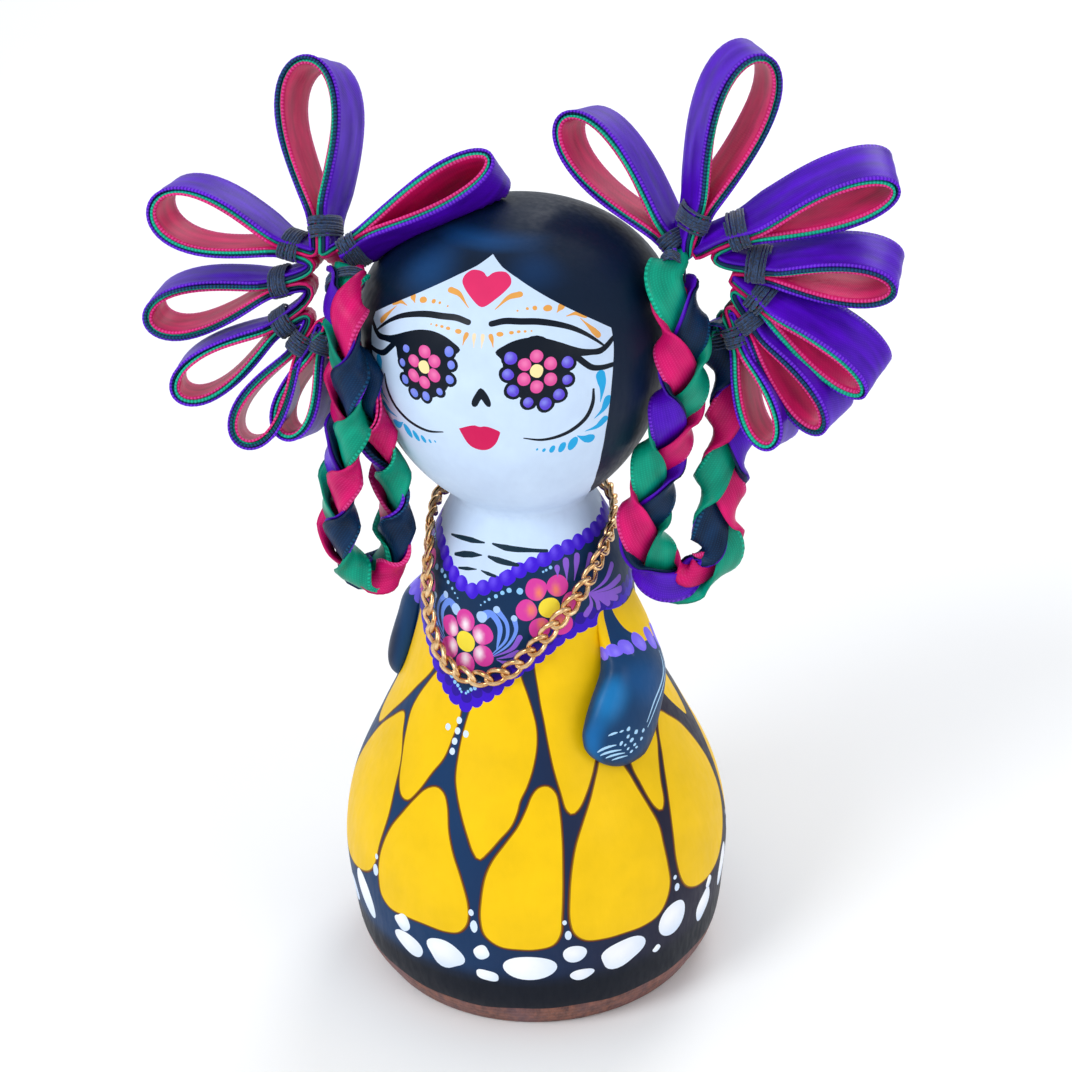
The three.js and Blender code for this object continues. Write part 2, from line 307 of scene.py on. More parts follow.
def weave_group():
    """Satin weave in the cloth's own lengths: fine cross ribs, slanting floats and looped edges."""
    group, given, result = new_group(
        "satin weave",
        [("Rib", "NodeSocketFloat", 0.3), ("Edge", "NodeSocketFloat", 4.4)],
        [("Ribs", "NodeSocketFloat"), ("Edges", "NodeSocketFloat"), ("Fold Shade", "NodeSocketFloat"),
         ("Height", "NodeSocketFloat")])
    place = put(group, "ShaderNodeUVMap", {"uv_map": "cloth"}).outputs["UV"]
    parts = put(group, "ShaderNodeSeparateXYZ", (), {0: place})
    along, across = parts.outputs["X"], parts.outputs["Y"]

    def ripple(source, period, slant=0.0):
        slanted = put(group, "ShaderNodeMath", {"operation": "MULTIPLY_ADD", 1: slant}, {0: across, 2: source})
        turns = put(group, "ShaderNodeMath", {"operation": "MULTIPLY", 1: 2 * math.pi / period},
                    {0: slanted.outputs[0]})
        wave = put(group, "ShaderNodeMath", {"operation": "SINE"}, {0: turns.outputs[0]})
        return range_map(group, wave.outputs[0], -1, 1)

    ribs = ripple(along, 0.36, 0.6)
    floats = ripple(across, 0.3)
    woven = put(group, "ShaderNodeMath", {"operation": "MULTIPLY"}, {0: ribs, 1: floats}).outputs[0]
    distance = put(group, "ShaderNodeMath", {"operation": "ABSOLUTE"}, {0: across}).outputs[0]
    rim = put(group, "ShaderNodeMath", {"operation": "SUBTRACT"}, {0: distance, 1: given.outputs["Edge"]})
    edge = range_map(group, rim.outputs[0], 0.0, 0.15)
    loops = ripple(along, 0.62)
    edges = put(group, "ShaderNodeMath", {"operation": "MULTIPLY"}, {0: edge, 1: loops}).outputs[0]
    stretched = put(group, "ShaderNodeMapping", {"Scale": (0.12, 0.45, 1)}, {"Vector": place})
    fold_shade_noise = put(group, "ShaderNodeTexNoise", {"Scale": 1.0, "Detail": 2.0}, {"Vector": stretched.outputs[0]})
    raised = put(group, "ShaderNodeMath", {"operation": "MULTIPLY_ADD"},
                 {0: woven, 1: given.outputs["Rib"], 2: edges})
    group.links.new(woven, result.inputs["Ribs"])
    group.links.new(edges, result.inputs["Edges"])
    group.links.new(range_map(group, fold_shade_noise.outputs["Fac"], 0.3, 0.7), result.inputs["Fold Shade"])
    group.links.new(raised.outputs[0], result.inputs["Height"])
    return group


def satin_material(name, weave, colour, fold_shade_tone, sheen_tone, rib):
    material, tree, shader = finished_material(
        name, Roughness=0.4, Specular_IOR_Level=0.16)
    cloth = put(tree, "ShaderNodeGroup", {"node_tree": weave})
    cloth.inputs["Rib"].default_value = rib
    # Painted shade: the colour darkens in soft noise patches standing for folds. Painted sheen: a brighter tone on the
    # ribs, and more on the looped edges
    shade = tint(tree, linear(fold_shade_tone), cloth.outputs["Fold Shade"], linear(colour))
    shade = tint(tree, shade, range_map(tree, cloth.outputs["Ribs"], 0, 1, 0, 0.18), linear(sheen_tone))
    shade = tint(tree, shade, range_map(tree, cloth.outputs["Edges"], 0, 1, 0, 0.55), linear(sheen_tone))
    tree.links.new(shade, shader.inputs["Base Color"])
    bump = put(tree, "ShaderNodeBump", {"Strength": 0.5, "Distance": 0.00012}, {"Height": cloth.outputs["Height"]})
    tree.links.new(bump.outputs[0], shader.inputs["Normal"])
    return material


def gold_material():
    material, tree, shader = finished_material("gold_links", Metallic=1.0)
    place = put(tree, "ShaderNodeTexCoord").outputs["Object"]
    gold_patches = put(tree, "ShaderNodeTexNoise", {"Scale": 600.0, "Detail": 3.0}, {"Vector": place})
    # Random patches run from a darker gold to a pale gold, a painted highlight tone; the same patches vary the
    # roughness
    colour = tint(tree, linear("#C8925A"), range_map(tree, gold_patches.outputs["Fac"], 0.35, 0.65), linear("#F2D0A0"))
    tree.links.new(colour, shader.inputs["Base Color"])
    tree.links.new(range_map(tree, gold_patches.outputs["Fac"], 0.3, 0.7, 0.18, 0.34), shader.inputs["Roughness"])
    return material


def thread_material():
    material, tree, shader = finished_material("dark_thread", Roughness=0.6, Sheen_Weight=0.3)
    place = put(tree, "ShaderNodeTexCoord").outputs["Object"]
    fibre = put(tree, "ShaderNodeTexNoise", {"Scale": 2500.0, "Detail": 2.0}, {"Vector": place})
    colour = tint(tree, linear("#030C20"), range_map(tree, fibre.outputs["Fac"], 0.35, 0.65), linear("#0E3C6C"))
    tree.links.new(colour, shader.inputs["Base Color"])
    bump = put(tree, "ShaderNodeBump", {"Strength": 0.5, "Distance": 0.0001}, {"Height": fibre.outputs["Fac"]})
    tree.links.new(bump.outputs[0], shader.inputs["Normal"])
    return material


def floor_material():
    material, tree, shader = finished_material("pale_floor", Roughness=0.7)
    place = put(tree, "ShaderNodeTexCoord").outputs["Object"]
    cloud = put(tree, "ShaderNodeTexNoise", {"Scale": 6.0, "Detail": 2.0}, {"Vector": place})
    colour = tint(tree, (0.93, 0.935, 0.94), cloud.outputs["Fac"], (0.96, 0.96, 0.965))
    tree.links.new(colour, shader.inputs["Base Color"])
    return material


# Painting: flat outlines of colour, cut into one mesh that is wrapped on the surface


SHAPE_STEP = 0.45
random_paint = random.Random(7)


def round_end(point, away, half):
    away = away.normalized()
    side = Vector((-away.y, away.x, 0))
    return [point + (side * math.cos(a) + away * math.sin(a)) * half
            for a in (k * math.pi / 6 for k in range(7))]


RIM_TOLERANCE = 1e-4
STRAIGHT_STEP = 1.5


def divided(outline):
    """A straight-edged outline with points added along it, so that it stays on a round surface."""
    result = []
    for start, end in zip(outline, outline[1:] + outline[:1]):
        parts = max(1, math.ceil((end - start).length / STRAIGHT_STEP))
        result += [start.lerp(end, part / parts) for part in range(parts)]
    return result


def close_seams(piece, rim):
    """Merges the points on the rim of an unrolled surface, and drops what collapses there."""
    import bmesh
    work = bmesh.new()
    work.from_mesh(piece.data)
    edge_points = [vertex for vertex in work.verts if vertex.index in rim]
    bmesh.ops.remove_doubles(work, verts=edge_points, dist=2e-6)
    bmesh.ops.dissolve_degenerate(work, dist=1e-8, edges=work.edges)
    bmesh.ops.recalc_face_normals(work, faces=work.faces)
    work.to_mesh(piece.data)
    work.free()


class Painting:
    """Colours laid on an unrolled surface. A later shape covers the earlier ones."""

    def __init__(self, across, up, ground):
        self.across = across
        self.up = up
        self.points = []
        self.shapes = []
        self.colours = []
        self.glows = []
        low, high = across
        bottom, top = up
        self.lay([(low, bottom), (high, bottom), (high, top), (low, top)], ground)

    def lay(self, outline, colour, glow=None, inner=()):
        """Adds a filled outline. glow is (middle, reach, colour), blended in towards the middle."""
        start = len(self.points)
        outline = [Vector(point[:2]) for point in outline]
        if sum(a.cross(b) for a, b in zip(outline, outline[1:] + outline[:1])) < 0:
            outline.reverse()
        self.points.extend(outline)
        self.shapes.append(list(range(start, len(self.points))))
        self.colours.append(colour)
        self.glows.append(glow)
        self.points.extend(Vector(point[:2]) for point in inner)

    def grid(self, columns, rows):
        """Points that keep the surface round between the outlines. The base outline passes those
        on its two sides, so that no edge there skips one."""
        low, high = self.across
        left, right = [], []
        for row in rows:
            left.append(len(self.points))
            for column in range(columns + 1):
                self.points.append(Vector((mix(low, high, column / columns), row)))
            right.append(len(self.points) - 1)
        bottom_left, bottom_right, top_right, top_left = self.shapes[0]
        self.shapes[0] = [bottom_left, bottom_right, *right, top_right, top_left, *reversed(left)]

    def on_rim(self, point):
        """Whether a flat point is on the edge of the painting, where the surface meets itself."""
        gaps = [abs(point.x - side) for side in self.across] + [abs(point.y - end) for end in self.up]
        return min(gaps) < RIM_TOLERANCE

    def cut(self):
        """The triangles inside the first shape, each with the number of the shape on top."""
        points, _, faces, _, _, owners = delaunay_2d_cdt(self.points, [], self.shapes, 0, 1e-5)
        kept = [(face, max(owner)) for face, owner in zip(faces, owners) if 0 in owner]
        return points, kept

    def piece(self, name, materials, place, shade, material_of):
        points, kept = self.cut()
        faces = []
        tops = []
        for face, top in kept:
            a, b, c = (points[i] for i in face)
            if abs((b - a).cross(c - a)) > 1e-9:
                faces.append(list(face))
                tops.append(top)
        solid = [place(point) for point in points]
        piece = mesh_piece(name, solid, faces, materials,
                           [material_of(self.colours[top]) for top in tops])
        mesh = piece.data
        paint = mesh.color_attributes.new("paint", "FLOAT_COLOR", "CORNER")
        cache = {}
        for polygon, top in zip(mesh.polygons, tops):
            for corner in polygon.loop_indices:
                key = (top, mesh.loops[corner].vertex_index)
                if key not in cache:
                    cache[key] = self.colour_at(top, points[key[1]], shade)
                paint.data[corner].color = (*cache[key], 1)
        close_seams(piece, {i for i, point in enumerate(points) if self.on_rim(point)})
        return piece

    def frame_at(self, spot):
        """The flat place of a spot, and how many flat millimetres a true one takes across there."""
        raise NotImplementedError

    def lay_round(self, outline, colour, **more):
        self.lay(outline, colour, **more)

    def area(self, spots, colour, rounded=True):
        points = [self.frame_at(spot)[0] for spot in spots]
        if rounded:
            points = smooth_curve(points, max(12, int(length_of(points) / SHAPE_STEP)), closed=True)
        else:
            points = divided(points)
        self.lay_round(points, colour)

    def dab(self, spot, half_width, half_height, colour, turn=0.0, wobble=0.03, sides=18, glow=None):
        """One touch of a round brush or ball tool, its sizes in true millimetres."""
        middle, stretch = self.frame_at(spot)
        waves = [(random_paint.uniform(-1, 1) * wobble, random_paint.uniform(0, 6.3)) for _ in range(3)]
        lean = math.radians(turn)

        def rim(angle, share):
            swell = share * (1 + sum(a * math.sin((k + 2) * angle + b) for k, (a, b) in enumerate(waves)))
            x, y = half_width * math.cos(angle) * swell, half_height * math.sin(angle) * swell
            return (middle.x + (x * math.cos(lean) - y * math.sin(lean)) * stretch,
                    middle.y + x * math.sin(lean) + y * math.cos(lean))

        angles = [2 * math.pi * i / sides for i in range(sides)]
        inner = []
        light = None
        if glow:
            inner = [rim(angle, share) for share in (0.35, 0.68) for angle in angles[::2]] + [middle[:]]
            (right, above), reach, tone = glow
            light = ((middle.x + right * stretch, middle.y + above), reach, tone)
        self.lay_round([rim(angle, 1) for angle in angles], colour, glow=light, inner=inner)

    def stroke(self, spots, widths, colour):
        """A brush stroke along the spots: widths are half widths, spread evenly from start to end."""
        middle, stretch = self.frame_at(spots[len(spots) // 2])
        places = [self.frame_at(spot)[0] for spot in spots]
        line = [Vector(((place.x - middle.x) / stretch, place.y, 0)) for place in places]
        count = max(8, int(length_of(line) / 0.3))
        line = smooth_curve(line, count)
        keys = [i / (len(widths) - 1) for i in range(len(widths))]
        left, right = [], []
        for i, point in enumerate(line):
            along = (line[min(i + 1, count - 1)] - line[max(i - 1, 0)]).normalized()
            half = between(i / (count - 1), keys, widths)
            side = Vector((-along.y, along.x, 0)) * half
            left.append(point + side)
            right.append(point - side)
        start = round_end(line[0], line[0] - line[1], widths[0])
        end = round_end(line[-1], line[-1] - line[-2], widths[-1])
        outline = left[1:-1] + end + right[-2:0:-1] + start
        self.lay_round([(middle.x + p.x * stretch, p.y) for p in outline], colour)

    def comma(self, head, bend, tail, size, colour):
        """A comma stroke: pressed down at the head and drawn out to a thin tail."""
        self.stroke([head, bend, tail], [size, size * 0.95, size * 0.6, size * 0.3, 0.07], colour)

    def dots(self, rows, colour):
        for across, height, size in rows:
            self.dab((across, height), size, size, colour, sides=14)

    def colour_at(self, top, point, shade):
        colour = Vector(shade(self.colours[top], point))
        if self.glows[top]:
            middle, reach, light = self.glows[top]
            share = smooth_step(1 - (point - Vector(middle)).length / reach)
            colour = colour.lerp(Vector(linear(light)), 0.85 * share)
        return colour


# The turned outline, the same as the solid's

BASE_RADIUS = 31.2
BASE_EDGE = 0.6
NECK_RADIUS = 12.2
NECK_HEIGHT = 96.5
HEAD_RADIUS = 27.5
HEAD_CENTRE = 130
CROWN_HEIGHT = 20
JAW_DEPTH = 36
BODY_STATIONS = [
    (BASE_RADIUS, BASE_EDGE), (34.2, 6), (35.6, 15), (36.2, 25), (34.2, 36), (28.9, 48),
    (23.2, 60), (20.3, 70), (19.2, 78), (18.2, 84), (15.6, 90), (NECK_RADIUS, NECK_HEIGHT),
]
BODY_ROWS = 60
HEAD_ROWS = 50


def turned_outline():
    body = smooth_curve([Vector((r, z, 0)) for r, z in BODY_STATIONS], BODY_ROWS)
    rows = [(0.0, 0.0), (BASE_RADIUS - BASE_EDGE, 0.0)] + [(point.x, point.y) for point in body]
    first = math.asin(NECK_RADIUS / HEAD_RADIUS) + math.radians(2)
    for row in range(HEAD_ROWS + 1):
        angle = mix(first, math.pi, row / HEAD_ROWS)
        depth = JAW_DEPTH if angle < math.pi / 2 else CROWN_HEIGHT
        rows.append((HEAD_RADIUS * math.sin(angle), HEAD_CENTRE - depth * math.cos(angle)))
    return rows


OUTLINE = turned_outline()
ARCS = [0.0]
for (r0, z0), (r1, z1) in zip(OUTLINE, OUTLINE[1:]):
    ARCS.append(ARCS[-1] + math.hypot(r1 - r0, z1 - z0))
DEGREE = 0.5


def between(value, keys, values):
    for i in range(1, len(keys) - 1):
        if keys[i] >= value:
            break
    else:
        i = len(keys) - 1
    share = (value - keys[i - 1]) / max(keys[i] - keys[i - 1], 1e-9)
    return mix(values[i - 1], values[i], min(1.0, max(0.0, share)))


HEIGHTS = [z for _, z in OUTLINE[1:]]
RADII = [r for r, _ in OUTLINE[1:]]


def arc_of(height):
    """The way up the outline to a height. Past the base or the crown it lies outside the painting."""
    if height < 0:
        return -1.0
    return between(height, HEIGHTS, ARCS[1:]) + max(0.0, height - HEIGHTS[-1])


def radius_at(height):
    return between(height, HEIGHTS, RADII)


def flat(spot):
    return Vector((spot[0] * DEGREE, arc_of(spot[1])))


def on_body(point):
    """Where a point of the flat painting lies on the turned body."""
    radius = between(point.y, ARCS, [r for r, _ in OUTLINE])
    height = between(point.y, ARCS, [z for _, z in OUTLINE])
    return heading(point.x / DEGREE) * radius + Vector((0, 0, height))


# Colours of the paint, by name

PAINT = {
    "vein": "#0A3560", "brown": "#5E2A0A", "yellow": "#F0C200", "band": "#060E1C", "wood": "#6B4038",
    "blob": "#D4E4FA", "collar": "#072C50", "edging": "#3A0CC4", "edging_dark": "#2A0A94",
    "neckline": "#3E12D0", "skin": "#C8DCF4", "rib": "#0C2A3A", "hair": "#011830", "black": "#04101F",
    "heart": "#DE2C66", "lips": "#CC1054", "gold": "#E3A04E", "pale_gold": "#F3DCB4", "cyan": "#1EA4DE",
    "eye_petal": "#DB4C96", "eye_centre": "#F6E2A2", "violet": "#5B42CE", "sky": "#8CC4F2",
    "petal": "#D63C9C", "centre": "#F4DC3C", "lilac": "#8A5AD0", "blue_stroke": "#6A90E8",
    "arm": "#0C3A64", "cuff": "#7B66F0", "bone": "#A8D4F4",
    "swirl_head": "#A8C8F0", "vein_in_shade": "#1C1A30", "small_violet": "#6A80E0",
}

class FigurePaint(Painting):
    """Shapes on the turned figure, given by heading in degrees and height."""

    def frame_at(self, spot):
        return flat(spot), DEGREE * math.degrees(1 / radius_at(spot[1]))

    def lay_round(self, outline, colour, **more):
        """Lays an outline, and once more a full turn away where it crosses the seam at the back."""
        self.lay(outline, colour, **more)
        half = 180 * DEGREE
        for turn in (-1, 1):
            if any(point[0] * turn > half - RIM_TOLERANCE for point in outline):
                self.lay([(point[0] - 2 * turn * half, point[1]) for point in outline], colour, **more)


def mirrored(spots, middle):
    return [(2 * middle - spot[0], *spot[1:]) for spot in spots]


# The skirt: cells between the veins of a butterfly's wing, as headings and heights

FRONT_CELLS = [
    [(-71.6, 47.8), (-63, 52.6), (-54.5, 55.6), (-50, 53), (-45, 49.4), (-42.8, 44.5), (-41.3, 39.4),
     (-42.4, 33.5), (-43.3, 29.6), (-46.3, 26.9), (-53, 24.8), (-62, 23.8), (-71, 24.6), (-77, 28), (-80, 34),
     (-78, 41)],
    [(-20.4, 62), (-22.2, 56.4), (-23.8, 53.1), (-27.4, 50.1), (-31.5, 46.1), (-34.9, 43.9), (-38, 44),
     (-41.3, 45.9), (-44.2, 49.6), (-47.4, 53.2), (-49.7, 57.1), (-48.5, 59.5), (-44.2, 62.9), (-36, 67),
     (-26, 67)],
    [(-41, 30.3), (-40.6, 33.1), (-38.3, 38), (-35, 41.5), (-31.7, 44.5), (-27.9, 47), (-23.7, 48),
     (-20.4, 47.4), (-18.1, 45.5), (-16, 41.8), (-13.6, 38.6), (-10.1, 34.4), (-7.4, 29.2), (-7.7, 25.5),
     (-10.4, 23.3), (-14.5, 22.7), (-21.8, 22.8), (-28.5, 22.6), (-35.6, 22.4), (-39, 23.9), (-40.5, 27.1)],
    [(-14.6, 63), (-17.1, 57.9), (-17.2, 53.9), (-16.5, 50.6), (-14.6, 47.9), (-11.8, 44.8), (-8.7, 41.7),
     (-6.2, 39.2), (-4.4, 38.2), (-1.9, 39.5), (1.7, 41.9), (5.4, 44.2), (7.3, 46.4), (8.3, 48.3),
     (10.8, 50.6), (13.5, 53.9), (15.2, 57.3), (15.3, 60.2), (13.7, 63.3), (10.4, 67.4), (5, 72), (-6, 70)],
    [(18.7, 50.4), (21.2, 49.2), (21.9, 46.1), (21.8, 41.8), (21.2, 36.9), (20.7, 32.7), (20, 27.6),
     (19.4, 24.1), (17.2, 21.9), (12.5, 21.1), (7.4, 21.1), (2.3, 21.5), (-1.8, 23.5), (-3.1, 26.7),
     (-2.9, 30.8), (-1.8, 35.3), (0.2, 38.2), (4.1, 41.3), (7.9, 44), (10.9, 46.9), (13.1, 49.2), (15.6, 50.3)],
    [(17.6, 76), (18, 65.3), (19.4, 61.1), (20.5, 57.1), (21.7, 53.2), (23.4, 49.3), (24.7, 46.4),
     (26.3, 45.6), (28.9, 46.3), (32.5, 48.6), (35.9, 51.2), (40, 54.4), (48, 58), (58, 63), (70, 70),
     (75, 74.5), (60, 80), (36, 80)],
    [(42.5, 54), (47, 52.6), (50.2, 49.8), (52.1, 46.6), (54.2, 42.8), (55.7, 39.3), (55.5, 35.6),
     (55.6, 31.6), (55.4, 27.7), (53.3, 24.5), (50.1, 22.4), (44.8, 21.6), (38.9, 21.6), (32.4, 21.6),
     (27.1, 22.1), (24.1, 23.7), (22.8, 26.5), (23.1, 31.4), (24.3, 36.2), (26.5, 40.4), (30, 44),
     (33.6, 47.1), (38, 51)],
    [(70.7, 52.5), (66.4, 49.1), (63.1, 45.6), (60.9, 42.2), (59, 41.2), (57.3, 42), (55.8, 44), (54.5, 47),
     (53.3, 50), (55, 55), (62, 60), (70, 62), (74, 58)],
    [(83.8, 52.6), (89.5, 49.4), (93.7, 45), (95.7, 40.5), (95.6, 37.3), (95, 33), (92, 29), (86, 25),
     (80.5, 23.1), (73.8, 22.6), (67.5, 23.2), (62.8, 24.9), (60.6, 27.3), (59.7, 31.6), (60.5, 35.4),
     (62.2, 39.4), (65.3, 44), (69, 48.5), (74, 53), (79, 54.6)],
    [(-42.5, 68.8), (-41, 67.4), (-53.2, 60.6), (-63.8, 54.4), (-74.7, 48.6), (-80, 50), (-82, 58),
     (-76, 68), (-62, 76), (-48, 76)],
    [(86, 62), (90, 55.4), (96, 50.6), (100.5, 48.2), (104, 51), (106, 58), (104, 66), (96, 70), (88, 70)],
]


def skirt_cells():
    cells = list(FRONT_CELLS)
    upper = [(0, 38.6), (4, 41), (8.6, 45.5), (11.5, 50.5), (14.5, 55), (15.6, 60), (14, 66), (8, 74),
             (-8, 74), (-14, 66), (-15.6, 60), (-14.5, 55), (-11.5, 50.5), (-8.6, 45.5), (-4, 41)]
    lower = [(0, 50.6), (3.2, 49.6), (4.8, 46.6), (8.4, 43), (13, 39), (15.6, 34), (16, 28), (14.5, 24),
             (10, 21.8), (0, 21.2), (-10, 21.8), (-14.5, 24), (-16, 28), (-15.6, 34), (-13, 39), (-8.4, 43),
             (-4.8, 46.6), (-3.2, 49.6)]
    for k, middle in enumerate((117, 155, 193, 231, 262)):
        squeeze = 0.8 if middle == 262 else 1.06
        lift = 1.5 * math.sin(2.1 * k)
        cells.append([(middle + across * squeeze, height + lift * (height - 21) / 30) for across, height in lower])
    for k, middle in enumerate((136, 174, 212, 248)):
        squeeze = 0.88 if middle == 248 else 1.0
        lift = 1.3 * math.cos(1.7 * k)
        cells.append([(middle + across * squeeze + 1.5 * math.sin(height / 9 + k), height + lift)
                      for across, height in upper])
    return cells


# White patches on the hem: heading, height, half width, half height, turn
HEM_PATCHES = [
    (-50, 20.2, 2.7, 4.9, 28), (-30.4, 20.6, 2.0, 1.9, 20), (-29, 16, 3.5, 2.4, -18), (-15.5, 17.2, 3.8, 3.3, -12),
    (-3.6, 19.5, 1.5, 1.7, -30), (-2.4, 14, 2.2, 1.3, -10), (10.4, 16.5, 4.9, 2.9, 2), (23.6, 19.2, 2.3, 1.9, 0),
    (25.7, 14, 2.2, 1.3, 6), (38.6, 16.9, 4.6, 3.1, 8), (56.4, 19.6, 3.3, 3.9, -28), (72.5, 16.8, 2.4, 3.3, -22),
    (88, 19.6, 2.6, 4.3, -14), (50.6, 14.4, 0.9, 0.8, 0), (75, 21, 1.1, 1.3, -20),
]
BACK_PATCHES = [
    (103, 16.5, 4.4, 3.0, 5), (116, 17.5, 3.0, 2.4, -10), (130, 16.6, 4.6, 3.1, 4), (137, 20.2, 1.6, 1.7, 0),
    (147, 15.2, 2.6, 1.8, 10), (160, 16.8, 4.8, 3.0, -4), (174, 19.4, 2.0, 2.2, 0), (180, 14.6, 2.3, 1.5, 6),
    (193, 16.7, 4.5, 3.0, 3), (207, 16, 3.1, 2.4, -12), (213, 20.4, 1.5, 1.7, 0), (224, 16.6, 4.4, 2.9, 5),
    (239, 15.6, 2.6, 1.9, -8), (252, 17, 4.6, 3.1, 2), (266, 19.4, 1.8, 2.0, 0), (272, 15.4, 3.2, 2.0, 8),
    (285, 17, 3.8, 3.0, -6), (297, 16.2, 2.9, 2.6, 10),
]
VEIN_DOTS = [
    (-42.7, 31, 0.5, 0.55), (-42.6, 28.2, 0.85, 1.2), (-6.2, 28, 0.5, 0.7), (-5.4, 25.2, 0.72, 1.3),
    (20.9, 26.5, 0.42, 0.5), (21.8, 23.7, 0.64, 1.0), (57.9, 28.3, 0.44, 0.46), (58.3, 26.1, 0.65, 0.8),
    (98, 27, 0.5, 0.6), (98.4, 24.4, 0.8, 1.1), (136, 27, 0.5, 0.6), (136.4, 24.4, 0.8, 1.1),
    (174, 27, 0.5, 0.6), (174.4, 24.4, 0.8, 1.1), (212, 27, 0.5, 0.6), (212.4, 24.4, 0.8, 1.1),
]
TIP_DOTS = [(-20.2, 59.8), (-25.3, 58.1), (-15.9, 57.9), (-20.1, 58), (-20.5, 56.2), (-20.6, 54.5)]


def paint_skirt(art):
    for cell in skirt_cells():
        points = [flat(spot) for spot in cell]
        count = int(length_of(points) / 0.6)
        ring = smooth_curve(points, count, closed=True)
        centre = sum(ring, Vector((0, 0))) / count
        for grow, colour in ((0.42, "brown"), (0.2, "brown_light"), (0.0, "yellow")):
            art.lay_round([grown(ring, i, grow) for i in range(count)], colour)
    # Each white patch carries a painted highlight: pure white blended in up and towards the figure's right of its
    # middle, its edges left bluer
    for across, height, width, tall, turn in HEM_PATCHES + BACK_PATCHES:
        art.dab((across, height), width, tall, "blob", turn, wobble=0.07, sides=30,
                glow=((-0.3 * width, 0.3 * tall), 1.6 * max(width, tall), "#FFFFFF"))
    for across, height, width, tall in VEIN_DOTS:
        art.dab((across, height), width, tall, "blob", sides=12)
    for spot in TIP_DOTS:
        art.dab(spot, 0.58, 0.66, "blob", sides=12)
    half = 181
    rim = [(across, 5.7 + (2.5 if across < 0 else 1.6) * math.sin(math.radians(across)) ** 2
            + 0.25 * math.sin(across / 9) + 0.15 * math.sin(across / 3.3))
           for across in range(-half, half + 1, 3)]
    art.area(rim + [(half, -1), (-half, -1)], "wood", rounded=False)


def grown(ring, index, grow):
    """A point of a closed ring, moved outwards."""
    after = ring[(index + 1) % len(ring)]
    before = ring[index - 1]
    along = Vector((after.x - before.x, after.y - before.y)).normalized()
    turn = 1 if ring_area(ring) > 0 else -1
    return (ring[index].x + along.y * grow * turn, ring[index].y - along.x * grow * turn)


AREAS = {}


def ring_area(ring):
    key = id(ring)
    if key not in AREAS:
        AREAS[key] = sum(a.x * b.y - b.x * a.y for a, b in zip(ring, ring[1:] + ring[:1]))
    return AREAS[key]


# The collar, drawn about the dress's middle line

COLLAR_MIDDLE = -20.0
NECKLINE_SPACING = 2.35
NECKLINE = [(0.5, 84.1), (10.4, 85.4), (19.7, 86.8), (29.5, 88.5), (40, 89.5), (50.9, 90.4), (62.8, 91),
            (76.7, 91.3), (90, 91.6), (103, 91.8), (116, 92), (129, 92.1), (142, 92.2), (155, 92.2),
            (168, 92.2), (180, 92.2)]
BORDER = [(0, 62.6), (3.5, 63.4), (13.2, 65.8), (20.9, 68.4), (27, 70.4), (33.1, 71.8), (40.4, 73.6),
          (49.1, 75.8), (58.2, 76.9), (68.1, 77.4), (80.9, 77.6), (97.8, 78), (115, 78.6), (140, 79.2),
          (160, 79.5), (180, 79.5)]


def collar_line(half_line):
    """The whole line from the back, round the left, the middle and the right, to the back again."""
    left = [(COLLAR_MIDDLE - across, height) for across, height in half_line[::-1]]
    return left + [(COLLAR_MIDDLE + across, height) for across, height in half_line[1 if half_line[0][0] == 0 else 0:]]


def flower(art, spot, petal_size, petal_reach, light, turn):
    middle = Vector(spot)
    for k in range(6):
        angle = math.radians(turn + 60 * k)
        x, y = petal_reach * math.cos(angle), petal_reach * math.sin(angle)
        across = spot[0] + math.degrees(x / radius_at(spot[1]))
        glow = ((-0.45 * x / petal_reach * petal_size, -0.45 * y / petal_reach * petal_size), petal_size, light)
        art.dab((across, spot[1] + y), petal_size, petal_size * 1.04, "petal", wobble=0.035, sides=24, glow=glow)
    art.dab(spot, petal_size, petal_size, "centre", wobble=0.02, sides=24)


def paint_collar(art):
    border = collar_line(BORDER)
    art.area([(border[0][0] - 5, 99)] + border + [(border[-1][0] + 5, 99)], "collar", rounded=False)
    line = smooth_curve([(*flat(spot), 0) for spot in border], 900)
    steps = scallops_along(line, 2.35)
    for row, (inset, size, colour) in enumerate(((0.0, 1.5, "edging"), (1.35, 1.15, "edging_dark"))):
        for point in steps:
            spot = (point.x / DEGREE, height_of_arc(point.y + inset))
            art.dab(spot, size, size, colour, wobble=0.05, sides=16)
    for side in (-1, 1):
        paint_collar_half(art, side)
    flower(art, (-21.2, 74.3), 1.98, 4.1, "#FFFFFF", 92)
    ring = collar_line(NECKLINE)
    skin = [(ring[0][0] - 5, 99)] + ring + [(ring[-1][0] + 5, 99)]
    art.area(skin, "skin", rounded=False)
    # Each scallop of the neckline carries a painted highlight, a paler violet up and towards the figure's right of its
    # middle
    for point in scallops_along(smooth_curve([(*flat(spot), 0) for spot in ring], 900), NECKLINE_SPACING):
        spot = (point.x / DEGREE, height_of_arc(point.y))
        art.dab(spot, 1.45, 1.42, "neckline", wobble=0.07, sides=20, glow=((-0.5, 0.5), 1.8, "#6A4CEC"))


def scallops_along(line, spacing):
    """Points a true distance apart on a flat line round the body."""
    picked = [line[0]]
    for point in line:
        radius = radius_at(height_of_arc(point.y))
        across = math.radians((point.x - picked[-1].x) / DEGREE) * radius
        if math.hypot(across, point.y - picked[-1].y) >= spacing:
            picked.append(point)
    return picked


def height_of_arc(arc):
    return between(arc, ARCS[1:], HEIGHTS)


